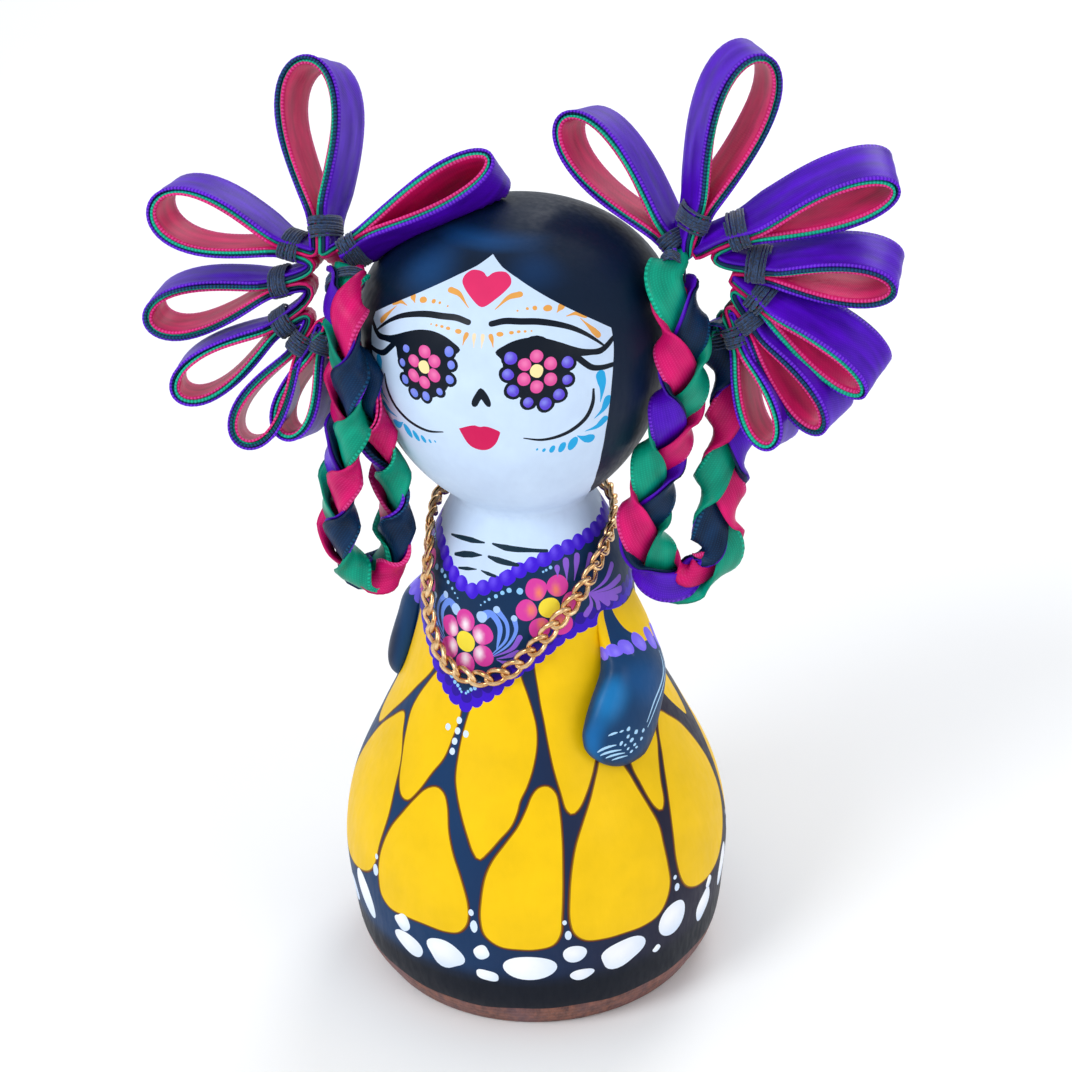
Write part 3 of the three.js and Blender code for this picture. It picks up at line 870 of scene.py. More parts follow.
# One half of the collar's ornament, right of its middle line
ROW_DOTS = [(7.6, 82, 0.17), (9.9, 82.7, 0.21), (12.3, 83.3, 0.28), (16.2, 84, 0.37), (19.8, 84.7, 0.39),
            (23.6, 85.2, 0.46), (29.7, 85.1, 0.59), (44, 88, 0.21), (46, 88.2, 0.24), (48.9, 88.5, 0.32)]
TIP_ROW = [(1.3, 64.8, 0.24), (2.3, 65.2, 0.28), (3.8, 65.7, 0.35), (5.8, 66.1, 0.38), (8.2, 67, 0.5)]
SWIRLS = [
    [(8.3, 79.8), (13.4, 80.7), (18.4, 78.5), (16.8, 73.9)], [(16.8, 81.6), (22.2, 79.2), (22.1, 76.3), (14.7, 73.1)],
    [(26.3, 80.2), (27.2, 77.9), (23.1, 75.2), (14.7, 72.7)],
]
SWIRL_SIZES = [1.0, 0.62, 0.55]
TAILS = [[(29.1, 76.6), (25.2, 74.5), (15.3, 72.6)], [(27.7, 73.7), (22, 72.8), (16.8, 72.2)],
         [(23.5, 71.5), (20, 71.7), (16.9, 72)]]
FAN_HEADS = [(92.2, 85, 0.85), (96, 81.9, 1.0), (95, 79.8, 0.95), (90, 78.9, 0.85), (82.5, 79, 0.85),
             (75, 79.2, 0.75), (66.5, 79, 0.95)]
HIGH_FAN = [((53, 88.3), (52.4, 86.9), 0.5), ((59.5, 89), (57.5, 86), 0.62), ((68, 89.2), (62, 85.6), 0.6),
            ((78, 88.4), (66, 84.8), 0.6)]


def paint_collar_half(art, side):
    def spot(across, height):
        return (COLLAR_MIDDLE + side * across, height)

    art.dots([(*spot(across, height), size) for across, height, size in ROW_DOTS + TIP_ROW], "sky")
    for line, size in zip(SWIRLS, SWIRL_SIZES):
        art.stroke([spot(*point) for point in line], [size * 0.95, size * 0.62, size * 0.5, size * 0.34, 0.08],
                   "blue_stroke")
        art.dab(spot(*line[0]), size * 1.05, size * 1.1, "swirl_head", sides=16)
    for line in TAILS:
        art.stroke([spot(*point) for point in line], [0.5, 0.42, 0.2, 0.07], "lilac")
    flower(art, spot(45.6, 81.8), 1.92, 4.1, "#F08A4A", 90 - side * 28)
    for across, height, size in FAN_HEADS:
        middle = spot((across + 70) / 2 + 2, (height + 82.5) / 2 - 0.4)
        art.comma(spot(across, height), middle, spot(69.5, 82.6), 0.68 * size, "lilac")
    for head, tail, size in HIGH_FAN:
        middle = ((head[0] + tail[0]) / 2, (head[1] + tail[1]) / 2)
        art.comma(spot(*head), spot(*middle), spot(*tail), size, "lilac")


# The chest's ribs: pairs of tapering strokes

RIBS = [
    ([(-46.4, 91.3), (-31.4, 91.9), (-16, 92.2)], [0.2, 0.42, 0.5, 0.15]),
    ([(-9.4, 92.3), (1.5, 91.9), (15.7, 91.6), (28, 91.2)], [0.18, 0.55, 0.5, 0.35, 0.3]),
    ([(-36.5, 88.9), (-26.2, 89.7), (-16, 90.2)], [0.3, 0.6, 0.55, 0.1]),
    ([(-10.9, 90.2), (-3, 89.8), (8.5, 89.3)], [0.25, 0.55, 0.5, 0.3]),
    ([(-30.5, 87.1), (-24, 87.5), (-18, 87.8)], [0.2, 0.35, 0.1]),
    ([(-14.5, 87.8), (-9.5, 87.5), (-5.2, 87.3)], [0.1, 0.34, 0.25]),
]

# The face, drawn right of its middle line and mirrored

FACE_MIDDLE = -0.5


def paint_face(art):
    hair_edge = [(0, 147.2), (7.4, 146), (15.8, 144.8), (22.8, 143.5), (29.8, 142), (37, 140.3), (45, 138.2),
                 (51, 136.4), (50.4, 134), (49.2, 130.8), (48.4, 126.8), (47.9, 122.2), (47.7, 117.7),
                 (48.3, 112.7), (50.2, 107.6), (54, 103.2), (63, 99.6), (82, 97.2), (110, 97.4), (145, 97.6)]
    for spots, widths in RIBS:
        art.stroke(spots, widths, "rib")
    heart = [(0, 144.95), (2.2, 145.35), (5.4, 145.55), (10, 145.45), (12.4, 144.8), (12.3, 144.2),
             (10.4, 143.6), (6, 142.55), (0.9, 141.45)]
    left_heart = [(-across, height) for across, height in heart[:0:-1]]
    art.area([(FACE_MIDDLE + across, height) for across, height in heart + left_heart], "heart")
    art.area([(0.6, 129.1), (-1.2, 128.1), (-3.1, 126.1), (-2.6, 125.4), (-1.4, 125.5), (-0.2, 126.4), (0.5, 127),
              (1.2, 126.5), (2.3, 125.7), (3.6, 125.6), (3.9, 126.3), (2.6, 128.1)], "black")
    left_corner, right_corner = (-8.9, 120.7), (6.6, 120.7)
    art.area([left_corner, left_corner, (-4.2, 121.6), (-2.4, 121.75), (-0.9, 121.5), (0.8, 121.7), (2.8, 121.55),
              right_corner, right_corner, (4.5, 118.2), (1.3, 116.8), (-2.3, 116.6), (-5.8, 117.4)], "lips")
    for side in (-1, 1):
        paint_face_half(art, side)
    edge = [(FACE_MIDDLE + across, height) for across, height in hair_edge]
    left = mirrored(edge[:0:-1], FACE_MIDDLE)
    shape = [(-182, 97.6)] + left + edge + [(182, 97.6), (182, 151), (-182, 151)]
    art.area(shape, "hair", rounded=False)


# Each eye's flower and ring of dots: heading, height, half width and half height. The first is the middle
EYES = {
    1: ([(20.1, 132, 1.17, 1.22), (20.4, 134.4, 1.1, 1.1), (25.1, 133, 1.11, 1.11), (24.8, 130.3, 1.12, 1.19),
         (19.9, 129.2, 1.1, 1.22), (15.6, 130.7, 1.1, 1.19), (16.1, 133.2, 1.09, 1.09)],
        [(11.3, 134.3, 1.09, 1.09), (10.2, 131.6, 0.99, 0.99), (11.7, 128.7, 0.99, 1.12), (16.8, 126.4, 0.85, 0.98),
         (22.8, 125.9, 1.04, 1.2), (27.6, 127.3, 0.99, 1.09), (30.7, 129.8, 0.89, 0.89), (31.2, 132.8, 1.03, 1.03)]),
    -1: ([(-20.8, 131.3, 1.13, 1.18), (-20.9, 133.9, 1.23, 1.1), (-16.6, 132.7, 1.15, 1.15),
          (-16.7, 130.2, 1.18, 1.22), (-20.9, 128.5, 1.11, 1.18), (-25.5, 129.2, 1.2, 1.2), (-25.3, 131.9, 1.15, 1.08)],
         [(-29.2, 133.5, 0.75, 0.66), (-30.6, 130.9, 0.64, 0.72), (-29.8, 127.9, 0.76, 0.86),
          (-26, 125.9, 0.83, 0.83), (-20.8, 125.9, 0.76, 0.9), (-14.9, 127.4, 0.6, 0.68), (-10.6, 130, 0.73, 0.82),
          (-10, 132.6, 0.68, 0.75), (-11.1, 134.7, 0.8, 0.91)]),
}
EYE_BORDER = 0.55


def paint_face_half(art, side):
    def spot(across, height):
        return (FACE_MIDDLE + side * across, height)

    brow = [(4.6, 139.3), (9.7, 139.7), (15.8, 139.6), (22.7, 139.4), (29.4, 138.8), (35.2, 137.9),
            (39.8, 136.7), (43.6, 135.3), (47, 133.8)]
    art.stroke([spot(*point) for point in brow], [0.5, 0.56, 0.56, 0.56, 0.5, 0.42, 0.3, 0.15], "black")
    lid = [(6.4, 135.2), (9.8, 136.3), (13.8, 137), (18.7, 137.3), (24.4, 137), (30, 136.1), (34.7, 135.1),
           (38.6, 134.4), (44.7, 134), (51, 135.2), (51, 134.6), (45, 133), (40, 133.2), (34, 133.2), (32, 131),
           (20, 129), (10, 131), (8.6, 134)]
    art.area([spot(*point) for point in lid], "black")
    art.stroke([spot(*point) for point in [(33.4, 134.4), (37.3, 132.4), (40.5, 131.1), (44, 130.6), (50, 130.5)]],
               [0.55, 0.55, 0.52, 0.48, 0.42], "black")
    flower_dots, ring_dots = EYES[side]
    middle = flower_dots[0][:2]
    art.dab(middle, 5.0, 5.7, "black", sides=30)
    for across, height, wide, tall in ring_dots:
        art.dab((across, height), wide + EYE_BORDER, tall + EYE_BORDER, "black", sides=16)
    ring_colour = "violet" if side == 1 else "small_violet"
    # The ring dots and the eye's petals carry painted highlights, paler tints towards their upper side
    for across, height, wide, tall in ring_dots:
        art.dab((across, height), wide, tall, ring_colour, sides=16, glow=((-0.25, 0.3), 1.1, "#8B8FEA"))
    for across, height, wide, tall in flower_dots[1:]:
        art.dab((across, height), wide, tall, "eye_petal", sides=18, glow=((0, 0.2), 1.2, "#EE7FB4"))
    art.dab(middle, 1.12, 1.16, "eye_centre", sides=18)
    cheek = [(41, 127), (40.8, 124.4), (38.6, 121.9), (34.4, 120.2), (28.9, 119.1), (22, 118.7), (15.4, 119.3)]
    art.stroke([spot(*point) for point in cheek], [0.2, 0.38, 0.42, 0.4, 0.34, 0.26, 0.12], "black")
    art.comma(spot(43.8, 129.3), spot(44.6, 127.1), spot(44, 124.2), 0.9, "cyan")
    art.comma(spot(47, 124.3), spot(45.6, 122.7), spot(42, 121.2), 0.78, "cyan")
    art.comma(spot(46.4, 120.4), spot(43.6, 119.4), spot(38.6, 119), 0.72, "cyan")
    art.comma(spot(41.2, 117.1), spot(38.2, 117.6), spot(35.5, 118.4), 0.9, "cyan")
    for across, height, width, tall in [(34, 116.9, 0.85, 1.5), (29.8, 116.5, 0.62, 1.2), (26, 116.4, 0.5, 0.85),
                                        (22.8, 116.4, 0.3, 0.45), (20.2, 116.7, 0.2, 0.28)]:
        art.dab(spot(across, height), width, tall, "cyan", turn=-side * 15, sides=12)
    art.comma(spot(16.3, 143), spot(11.5, 142.7), spot(5.7, 141.2), 0.54, "gold")
    for across, height, size in [(14.9, 141, 0.18), (19, 141.2, 0.26), (22.1, 141.2, 0.42)]:
        art.dab(spot(across, height), size, size, "gold", sides=10)
    art.dab(spot(27.4, 141), 0.78, 0.58, "gold", sides=12)
    art.comma(spot(33.4, 141), spot(32.2, 140.7), spot(30.8, 140.3), 0.54, "gold")
    art.comma(spot(41.8, 139.2), spot(38.4, 139.7), spot(34.2, 139.6), 0.52, "gold")
    art.comma(spot(44.8, 136), spot(42.4, 137.4), spot(39.6, 138.9), 0.56, "gold")
    for across, height, width, tall in [(8, 137.9, 0.6, 0.42), (12.3, 138.1, 0.42, 0.3), (15, 138.2, 0.34, 0.25),
                                        (17.4, 138.2, 0.25, 0.22), (19.8, 138.2, 0.17, 0.16)]:
        art.dab(spot(across, height), width, tall, "gold", sides=10)
    art.comma(spot(4.6, 137.6), spot(5.2, 136.9), spot(5.6, 136), 0.4, "gold")
    art.comma(spot(1.6, 137.6), spot(1.6, 136.9), spot(1.4, 135.8), 0.34, "pale_gold")


# Colours worked out at each corner: painted sheen on the hair, painted light and shade on the veins, and the hem's dark
# band

# Painted sheen: soft patches of lighter blue on the dark hair, each as middle, reach and colour
HAIR_PAINTED_SHEEN = {
    "hair": [((-10, 148.2), (70, 1.2), "#0A3E70"), ((-35, 144.5), (24, 5), "#083A6A"),
             ((25, 145.5), (22, 3.4), "#052C54")],
}


HEM_TOP = 16


def body_shade(paint, point):
    if paint == "brown_light":
        return Vector(linear(PAINT["brown"])).lerp(Vector(linear(PAINT["yellow"])), 0.25)
    colour = Vector(linear(PAINT[paint]))
    height = height_of_arc(point.y)
    across = point.x / DEGREE
    # Painted sheen: lighter blue blended in towards each patch's middle
    for (middle, level), (wide, tall), light in HAIR_PAINTED_SHEEN.get(paint, []):
        away = math.hypot((across - middle) / wide, (height - level) / tall)
        colour = colour.lerp(Vector(linear(light)), smooth_step(1 - away))
    if paint == "vein":
        # Painted light and shade: the veins run from a lit blue on the figure's right to a darker, warmer shaded tone
        # on its left
        to_left = math.sin(math.radians(across - 15))
        colour = colour.lerp(Vector(linear(PAINT["vein_in_shade"])), smooth_step(0.5 + 0.6 * to_left))
        colour = colour.lerp(Vector(linear(PAINT["band"])), smooth_step((HEM_TOP - height) / 4))
    return colour


def make_figure(paint, wood):
    art = FigurePaint((-180 * DEGREE, 180 * DEGREE), (0, ARCS[-1]), "vein")
    paint_skirt(art)
    paint_collar(art)
    art.area([(-182, 96.9), (182, 96.9), (182, 151), (-182, 151)], "skin", rounded=False)
    paint_face(art)
    rows = [ARCS[-1] * k / 130 for k in range(1, 130)] + [ARCS[1], ARCS[2]]
    art.grid(96, sorted(rows))
    return art.piece("painted_figure", [paint, wood], on_body, body_shade,
                     lambda colour: 1 if colour == "wood" else 0)


# Arms: rounded lobes glued on, with a sleeve, a dotted cuff and the bones of the hand

ARM_HALF_WIDTH = 8.8
ARM_HALF_THICKNESS = 4.7
SHOULDER_SHARE = 0.4
SHOULDER_SINK = 3.4
SHOULDER_START = 0.16
LEFT_ARM = [(78, 85), (76, 78), (73, 70), (66, 64), (55, 59), (46, 55), (42, 52)]
LEFT_ARM_LIFT = 1.5
RIGHT_ARM = [(-114, 87), (-112, 80), (-108, 72.5), (-103, 65), (-98, 59), (-95, 54)]
RIGHT_ARM_LIFT = -0.4


def off_body(degrees, height, lift):
    slope = radius_at(height + 0.5) - radius_at(height - 0.5)
    size = math.hypot(1, slope)
    return heading(degrees) * (radius_at(height) + lift / size) + Vector((0, 0, height - lift * slope / size))


def clear_of_body(point, gap):
    """Moves a point that is inside the turned figure out to its surface."""
    if not 0 < point.z < HEAD_CENTRE + CROWN_HEIGHT:
        return point
    reach = math.hypot(point.x, point.y)
    least = radius_at(point.z) + gap
    if reach >= least:
        return point
    grow = least / max(reach, 1e-6)
    return Vector((point.x * grow, point.y * grow, point.z))


class ArmPaint(Painting):
    """Shapes on an arm, given by degrees round it from its outer side, and by the share along it."""

    def __init__(self, route, lift, ground):
        self.line = smooth_curve([off_body(*spot, lift) for spot in route], 120)
        self.length = length_of(self.line)
        self.degree = math.radians(ARM_HALF_WIDTH)
        super().__init__((-180 * self.degree, 180 * self.degree), (0, self.length), ground)

    def frame_at(self, spot):
        across, along = spot
        angle = math.radians(across)
        true = math.hypot(ARM_HALF_WIDTH * math.cos(angle), ARM_HALF_THICKNESS * math.sin(angle))
        return Vector((across * self.degree, along * self.length)), ARM_HALF_WIDTH / true

    def place(self, point):
        angle = point.x / ARM_HALF_WIDTH
        along = min(1.0, max(0.0, point.y / self.length))
        at = min(along * 119, 118.999)
        step = int(at)
        middle = self.line[step].lerp(self.line[step + 1], at - step)
        tangent = (self.line[min(step + 2, 119)] - self.line[max(step - 1, 0)]).normalized()
        outward = Vector((middle.x, middle.y, 0)).normalized()
        outward = (outward - tangent * outward.dot(tangent)).normalized()
        side = tangent.cross(outward)
        swell = max(0.0, 1 - abs(2 * along - 1) ** 5) ** 0.5
        taper = 0.74 + 0.26 * min(1, 2 * along)
        rise = smooth_step((along - SHOULDER_START) / SHOULDER_SHARE)
        sunk = SHOULDER_SINK * (1 - rise)
        thickness = ARM_HALF_THICKNESS * (0.3 + 0.7 * rise)
        spot = (middle + side * (ARM_HALF_WIDTH * swell * taper * math.sin(angle))
                + outward * (thickness * swell * math.cos(angle) - sunk))
        return clear_of_body(spot, mix(-0.6, 0.05, smooth_step((along - 0.2) / 0.08)))

    def finish(self, name, material):
        rows = [self.length * (1 - math.cos(math.pi * k / 56)) / 2 for k in range(1, 56)]
        self.grid(56, rows)
        return self.piece(name, [material], self.place, arm_shade, lambda colour: 0)


# Painted highlights and shade on the arm's blue: paler patches, and one darker patch, each as middle, reach and colour
ARM_PAINTED_LIGHT_AND_SHADE = [((66, 0.69), (34, 0.15), "#1272B0"), ((72, 0.86), (30, 0.09), "#0F62A0"),
              ((20, 0.55), (50, 0.12), "#0B4A80"), ((-60, 0.75), (30, 0.3), "#071D3C")]


def arm_shade(paint, point):
    colour = Vector(linear(PAINT[paint]))
    if paint == "arm":
        across, along = math.degrees(point.x / ARM_HALF_WIDTH), point.y / 42
        # Painted highlights and shade: each patch's colour is blended in towards its middle
        for (middle, level), (wide, tall), light in ARM_PAINTED_LIGHT_AND_SHADE:
            away = math.hypot((across - middle) / wide, (along - level) / tall)
            colour = colour.lerp(Vector(linear(light)), smooth_step(1.2 - away))
    return colour


def paint_arm(art, side):
    def spot(across, along):
        return (side * across, along)

    def band(low, high):
        return [(-179.9, low), (-179.9, high), (179.9, high), (179.9, low)]

    art.area(band(0.01, 0.4), "yellow", rounded=False)
    art.area([spot(*p) for p in [(40, 0.1), (56, 0.2), (61, 0.28), (66, 0.33), (72, 0.42), (40, 0.43), (6, 0.42),
                                 (12, 0.36), (22, 0.32), (28, 0.26), (31, 0.18), (30, 0.1)]], "vein")
    # Each cuff dot carries a painted highlight, a paler violet blended in off its middle
    for across, along, wide in [(146, 0.42, 1.4), (128, 0.43, 1.4), (104, 0.435, 1.5), (72, 0.41, 1.75),
                                (43, 0.4, 1.85), (13, 0.393, 1.85), (-18, 0.4, 1.8), (-46, 0.405, 1.6),
                                (-72, 0.41, 1.5), (-95, 0.41, 1.4), (-118, 0.41, 1.4), (-140, 0.41, 1.4)]:
        art.dab(spot(across, along), wide, 1.85, "cuff", wobble=0.05, sides=20, glow=((-0.4, 0.4), 1.6, "#9484F6"))
    for line, size in [([(-27, 0.455), (-22, 0.54), (-9, 0.65), (-8, 0.76)], 0.26),
                       ([(-36, 0.46), (-31, 0.55), (-18, 0.66), (-14, 0.775)], 0.22)]:
        art.stroke([spot(*p) for p in line], [0.08, size, size, size * 0.8, 0.1], "bone")
    for across, along, size in [(-8, 0.8, 0.38), (3, 0.825, 0.45), (-13, 0.835, 0.38), (17, 0.833, 0.4), (11, 0.862, 0.35),
                                (2, 0.867, 0.45), (-8, 0.878, 0.36), (-15, 0.885, 0.34), (15, 0.9, 0.38), (7, 0.9, 0.26),
                                (-2, 0.91, 0.3), (-12, 0.917, 0.38)]:
        art.dab(spot(across, along), size, size * 1.05, "bone", wobble=0.1, sides=10)
    for start, end in [((41, 0.89), (30, 0.868)), ((27, 0.863), (23, 0.85)), ((57, 0.955), (22, 0.913)),
                       ((51, 0.966), (9, 0.925)), ((36, 0.972), (-1, 0.933)), ((18, 0.976), (-11, 0.942))]:
        middle = ((start[0] + end[0]) / 2, (start[1] + end[1]) / 2)
        art.stroke([spot(*start), spot(*middle), spot(*end)], [0.08, 0.19, 0.19, 0.08], "bone")


def make_arm(name, route, lift, side, material):
    art = ArmPaint(route, lift, "arm")
    paint_arm(art, side)
    return art.finish(name, material)


# Ribbons: four satin ribbons sewn in loops round an open hub, their ends plaited together

RIBBON_WIDTH = 10
RIBBON_THICKNESS = 0.32
STACK = {"violet": 0.6, "navy": 0.2, "green": -0.2, "pink": -0.6}
STACK_HALF = 0.8
ROOT_WIDTH = 6.6
LOOP_STEPS = 48
PLAIT_SWING = 2.7
PLAIT_DEPTH = 1.1

# As in the solids: loop rows hold the root's angle round the hub, aim, lean, turn, length and width
RIGHT_SIDE = {
    "hub": (-29.7, -13.5, 141.3), "faces": -6, "tilt": 26, "ring": (-1.6, -2.2, 4.8, 8.4), "order": 1,
    "loops": [(54, 37, -10, -16, 31, 8.4), (100, 101, 0, -4, 31, 12), (143, 169, 9, -17, 27.5, 11.6),
              (182, 200, 4, -23, 27, 9.6), (224, 219, 6, -21, 25, 8.9), (262, 244, 3, -16, 22.3, 8.9),
              (296, 253, -5, -6, 20, 7.9)],
    "steady": 42, "flat_on": False,
    "route": [(-26.2, -12, 141.6), (-25, -18, 140.4), (-24.2, -22.6, 133.7), (-24.3, -23.1, 125.6),
              (-25, -22.6, 115.9), (-27, -21.8, 107.4), (-28.4, -21, 98.7), (-28.2, -20, 91.1),
              (-24.5, -18, 85.5), (-20.1, -15.8, 89.2), (-19.8, -15.3, 96.4), (-19.8, -15.5, 104.7),
              (-20.9, -17.2, 113.2), (-21.8, -19.3, 120.6), (-23.4, -18.6, 127.5), (-28.2, -15.6, 131.2)],
    "phases": {"pink": 240, "green": 120, "violet": 0, "navy": 0}, "period": 30.5,
}
LEFT_SIDE = {
    "hub": (34.8, -2.7, 140), "faces": -8, "tilt": 10, "ring": (-1.5, -1.5, 6.8, 8.6), "order": -1,
    "loops": [(144, 138, -7, -1, 31, 10.4), (104, 73, -5, 36, 32.4, 11), (55, 24, -13, 29, 30, 9),
              (17, -1, -9, 22, 26, 8.4), (-8, -35, -6, 26, 26.4, 8), (-31, -50, -3, 17, 24.7, 8),
              (-48, -66, 4, 1, 22.2, 7.7)],
    "steady": 36, "flat_on": True,
    "route": [(27.4, 0.4, 141.2), (28.5, -5.8, 140.6), (30.4, -9.4, 134.5), (31, -9.6, 125),
              (28.6, -8.8, 114.5), (25.4, -8.2, 104.6), (23.7, -8.4, 96.4), (24.3, -7.8, 89.1),
              (29.5, -4.5, 82.6), (35.4, -1.5, 86.5), (35.2, -1.2, 93.8), (36, -0.5, 101.8),
              (37.4, 0.4, 109.7), (38, 1, 117.9), (37.4, 1.2, 124.5), (36, 0.8, 130)],
    "phases": {"pink": 240, "green": 120, "violet": 0, "navy": 0}, "period": 34.5,
}


def hub_place(side):
    tilt = math.radians(side["tilt"])
    front = heading(side["faces"]) * math.cos(tilt) + Vector((0, 0, math.sin(tilt)))
    across = heading(side["faces"] + 90)
    turned = Matrix((across, front.cross(across), front)).transposed().to_4x4()
    return Matrix.Translation(side["hub"]) @ turned


def loop_place(side, loop):
    root, aim, lean, turn = (math.radians(value) for value in loop[:4])
    x, y, half_across, half_up = side["ring"]
    at = Matrix.Translation((x + half_across * math.cos(root), y + half_up * math.sin(root), 0))
    turned = Matrix.Rotation(aim, 4, "Z") @ Matrix.Rotation(-lean, 4, "Y") @ Matrix.Rotation(turn, 4, "X")
    return hub_place(side) @ at @ turned


class Row:
    """One place along a ribbon: its middle, the way across it, its half width and how far it is rolled up."""

    def __init__(self, middle, across, half, roll=0.0, pinch=0.0, facing=None):
        self.middle = middle
        self.across = across.normalized()
        self.half = half
        self.roll = roll
        self.pinch = pinch
        self.facing = facing


def loop_rows(side, loop):
    """The rows of the whole stack's middle round one loop, from one side of its root to the other."""
    place = loop_place(side, loop)
    length, width = loop[4:]
    across = place.to_3x3() @ Vector((0, 0, 1))
    rows = []
    for step in range(LOOP_STEPS + 1):
        angle = math.pi * (2 * step / LOOP_STEPS - 1)
        reach = (1 + math.cos(angle)) / 2
        swell = abs(math.sin(angle)) * reach ** 0.7 / 0.714 * width / 2
        pinch = 1.6 * smooth_step(1 - 2 * reach)
        spread = (swell ** 3 + pinch ** 3) ** (1 / 3)
        root = smooth_step(1 - reach * length / 8)
        sideways = (-1 if step < LOOP_STEPS / 2 else 1) * side["order"] * spread
        spot = Vector((length * reach, sideways, mix(-5, -4.2, root)))
        rows.append(Row(place @ spot, across, mix(RIBBON_WIDTH, ROOT_WIDTH, root) / 2, pinch=root))
    settle_inward(rows, side["order"])
    return rows


def facing_of(rows, index, order):
    along = rows[min(index + 1, len(rows) - 1)].middle - rows[max(index - 1, 0)].middle
    return (order * along.cross(rows[index].across)).normalized()


def settle_inward(rows, order):
    """Moves the rows from the stack's outside to its middle."""
    facings = [facing_of(rows, i, order) for i in range(len(rows))]
    for row, facing in zip(rows, facings):
        row.middle = row.middle - facing * STACK_HALF


def joining_rows(start, start_way, end, end_way, count, pull):
    """Rows on a smooth turn between two rows."""
    rows = []
    for step in range(1, count):
        t = step / count
        middle = (start.middle * (2 * t ** 3 - 3 * t ** 2 + 1) + start_way * pull * (t ** 3 - 2 * t ** 2 + t)
                  + end.middle * (3 * t ** 2 - 2 * t ** 3) + end_way * pull * (t ** 3 - t ** 2))
        share = smooth_step(t)
        rows.append(Row(middle, start.across.lerp(end.across, share), mix(start.half, end.half, share),
                        mix(start.roll, end.roll, share), mix(start.pinch, end.pinch, share)))
    return rows


def rosette_rows(side):
    rows = []
    for loop in side["loops"]:
        fresh = loop_rows(side, loop)
        if rows:
            gap = (fresh[0].middle - rows[-1].middle).length
            way_in = (rows[-1].middle - rows[-2].middle).normalized()
            way_out = (fresh[1].middle - fresh[0].middle).normalized()
            rows += joining_rows(rows[-1], way_in, fresh[0], way_out, 8, 3.0 * gap)
        rows += fresh
    return rows


def plait_frames(side):
    """Places down the plait's route from its end to its start: middle, along, wide way and face."""
    line = smooth_curve(side["route"], 181)[::-1]
    frames = []
    for i, point in enumerate(line):
        along = (line[min(i + 1, 180)] - line[max(i - 1, 0)]).normalized()
        steady = heading(side["steady"])
        steady = (steady - along * steady.dot(along)).normalized()
        other = along.cross(steady)
        wide, face = (other, steady) if side["flat_on"] else (steady, -other)
        frames.append((point, along, wide, face))
    return frames


def strand_rows(side, colour):
    """One ribbon's rows in the plait: rolled up, and turned over at each edge."""
    frames = plait_frames(side)
    length = length_of([frame[0] for frame in frames])
    phase = math.radians(side["phases"][colour])
    rows = []
    for i, (point, along, wide, face) in enumerate(frames):
        reach = length * i / (len(frames) - 1)
        angle = 2 * math.pi * reach / side["period"] + phase
        gather = mix(0.3, 1, smooth_step(min(reach, length - reach) / 7))
        middle = point + wide * (PLAIT_SWING * gather * math.sin(angle)) + face * (
            PLAIT_DEPTH * gather * math.sin(2 * angle))
        swing = math.cos(angle)
        tip = math.pi / 2 * (1 - math.copysign(abs(swing) ** 0.7, swing))
        facing = face * math.cos(tip) + wide * math.sin(tip)
        row = Row(middle, along.cross(facing), RIBBON_WIDTH / 2, roll=1.0, facing=facing)
        rows.append(row)
    doubled = {"violet": -0.36, "navy": 0.36}.get(colour, 0.0)
    for i, row in enumerate(rows):
        before, after = rows[max(i - 1, 0)].middle, rows[min(i + 1, len(rows) - 1)].middle
        along = (after - before).normalized()
        row.facing = (row.facing - along * row.facing.dot(along)).normalized()
        row.across = along.cross(row.facing)
    for row in rows:
        row.middle = row.middle + row.facing * doubled
    return rows


def rolled(v, half, roll, squash):
    """Where a point across a ribbon lies when the ribbon is rolled towards a flattened tube."""
    turn = max(roll, 1e-3) * 2.85
    radius = half / turn
    x, y = radius * math.sin(turn * v), radius * (1 - math.cos(turn * v)) - radius * (1 - math.sin(turn) / turn)
    lean = -math.pi / 2 * roll
    x, y = x * math.cos(lean) - y * math.sin(lean), x * math.sin(lean) + y * math.cos(lean)
    return x * mix(1, 1.8, roll), y * mix(1, squash, roll)


COLUMNS = 10


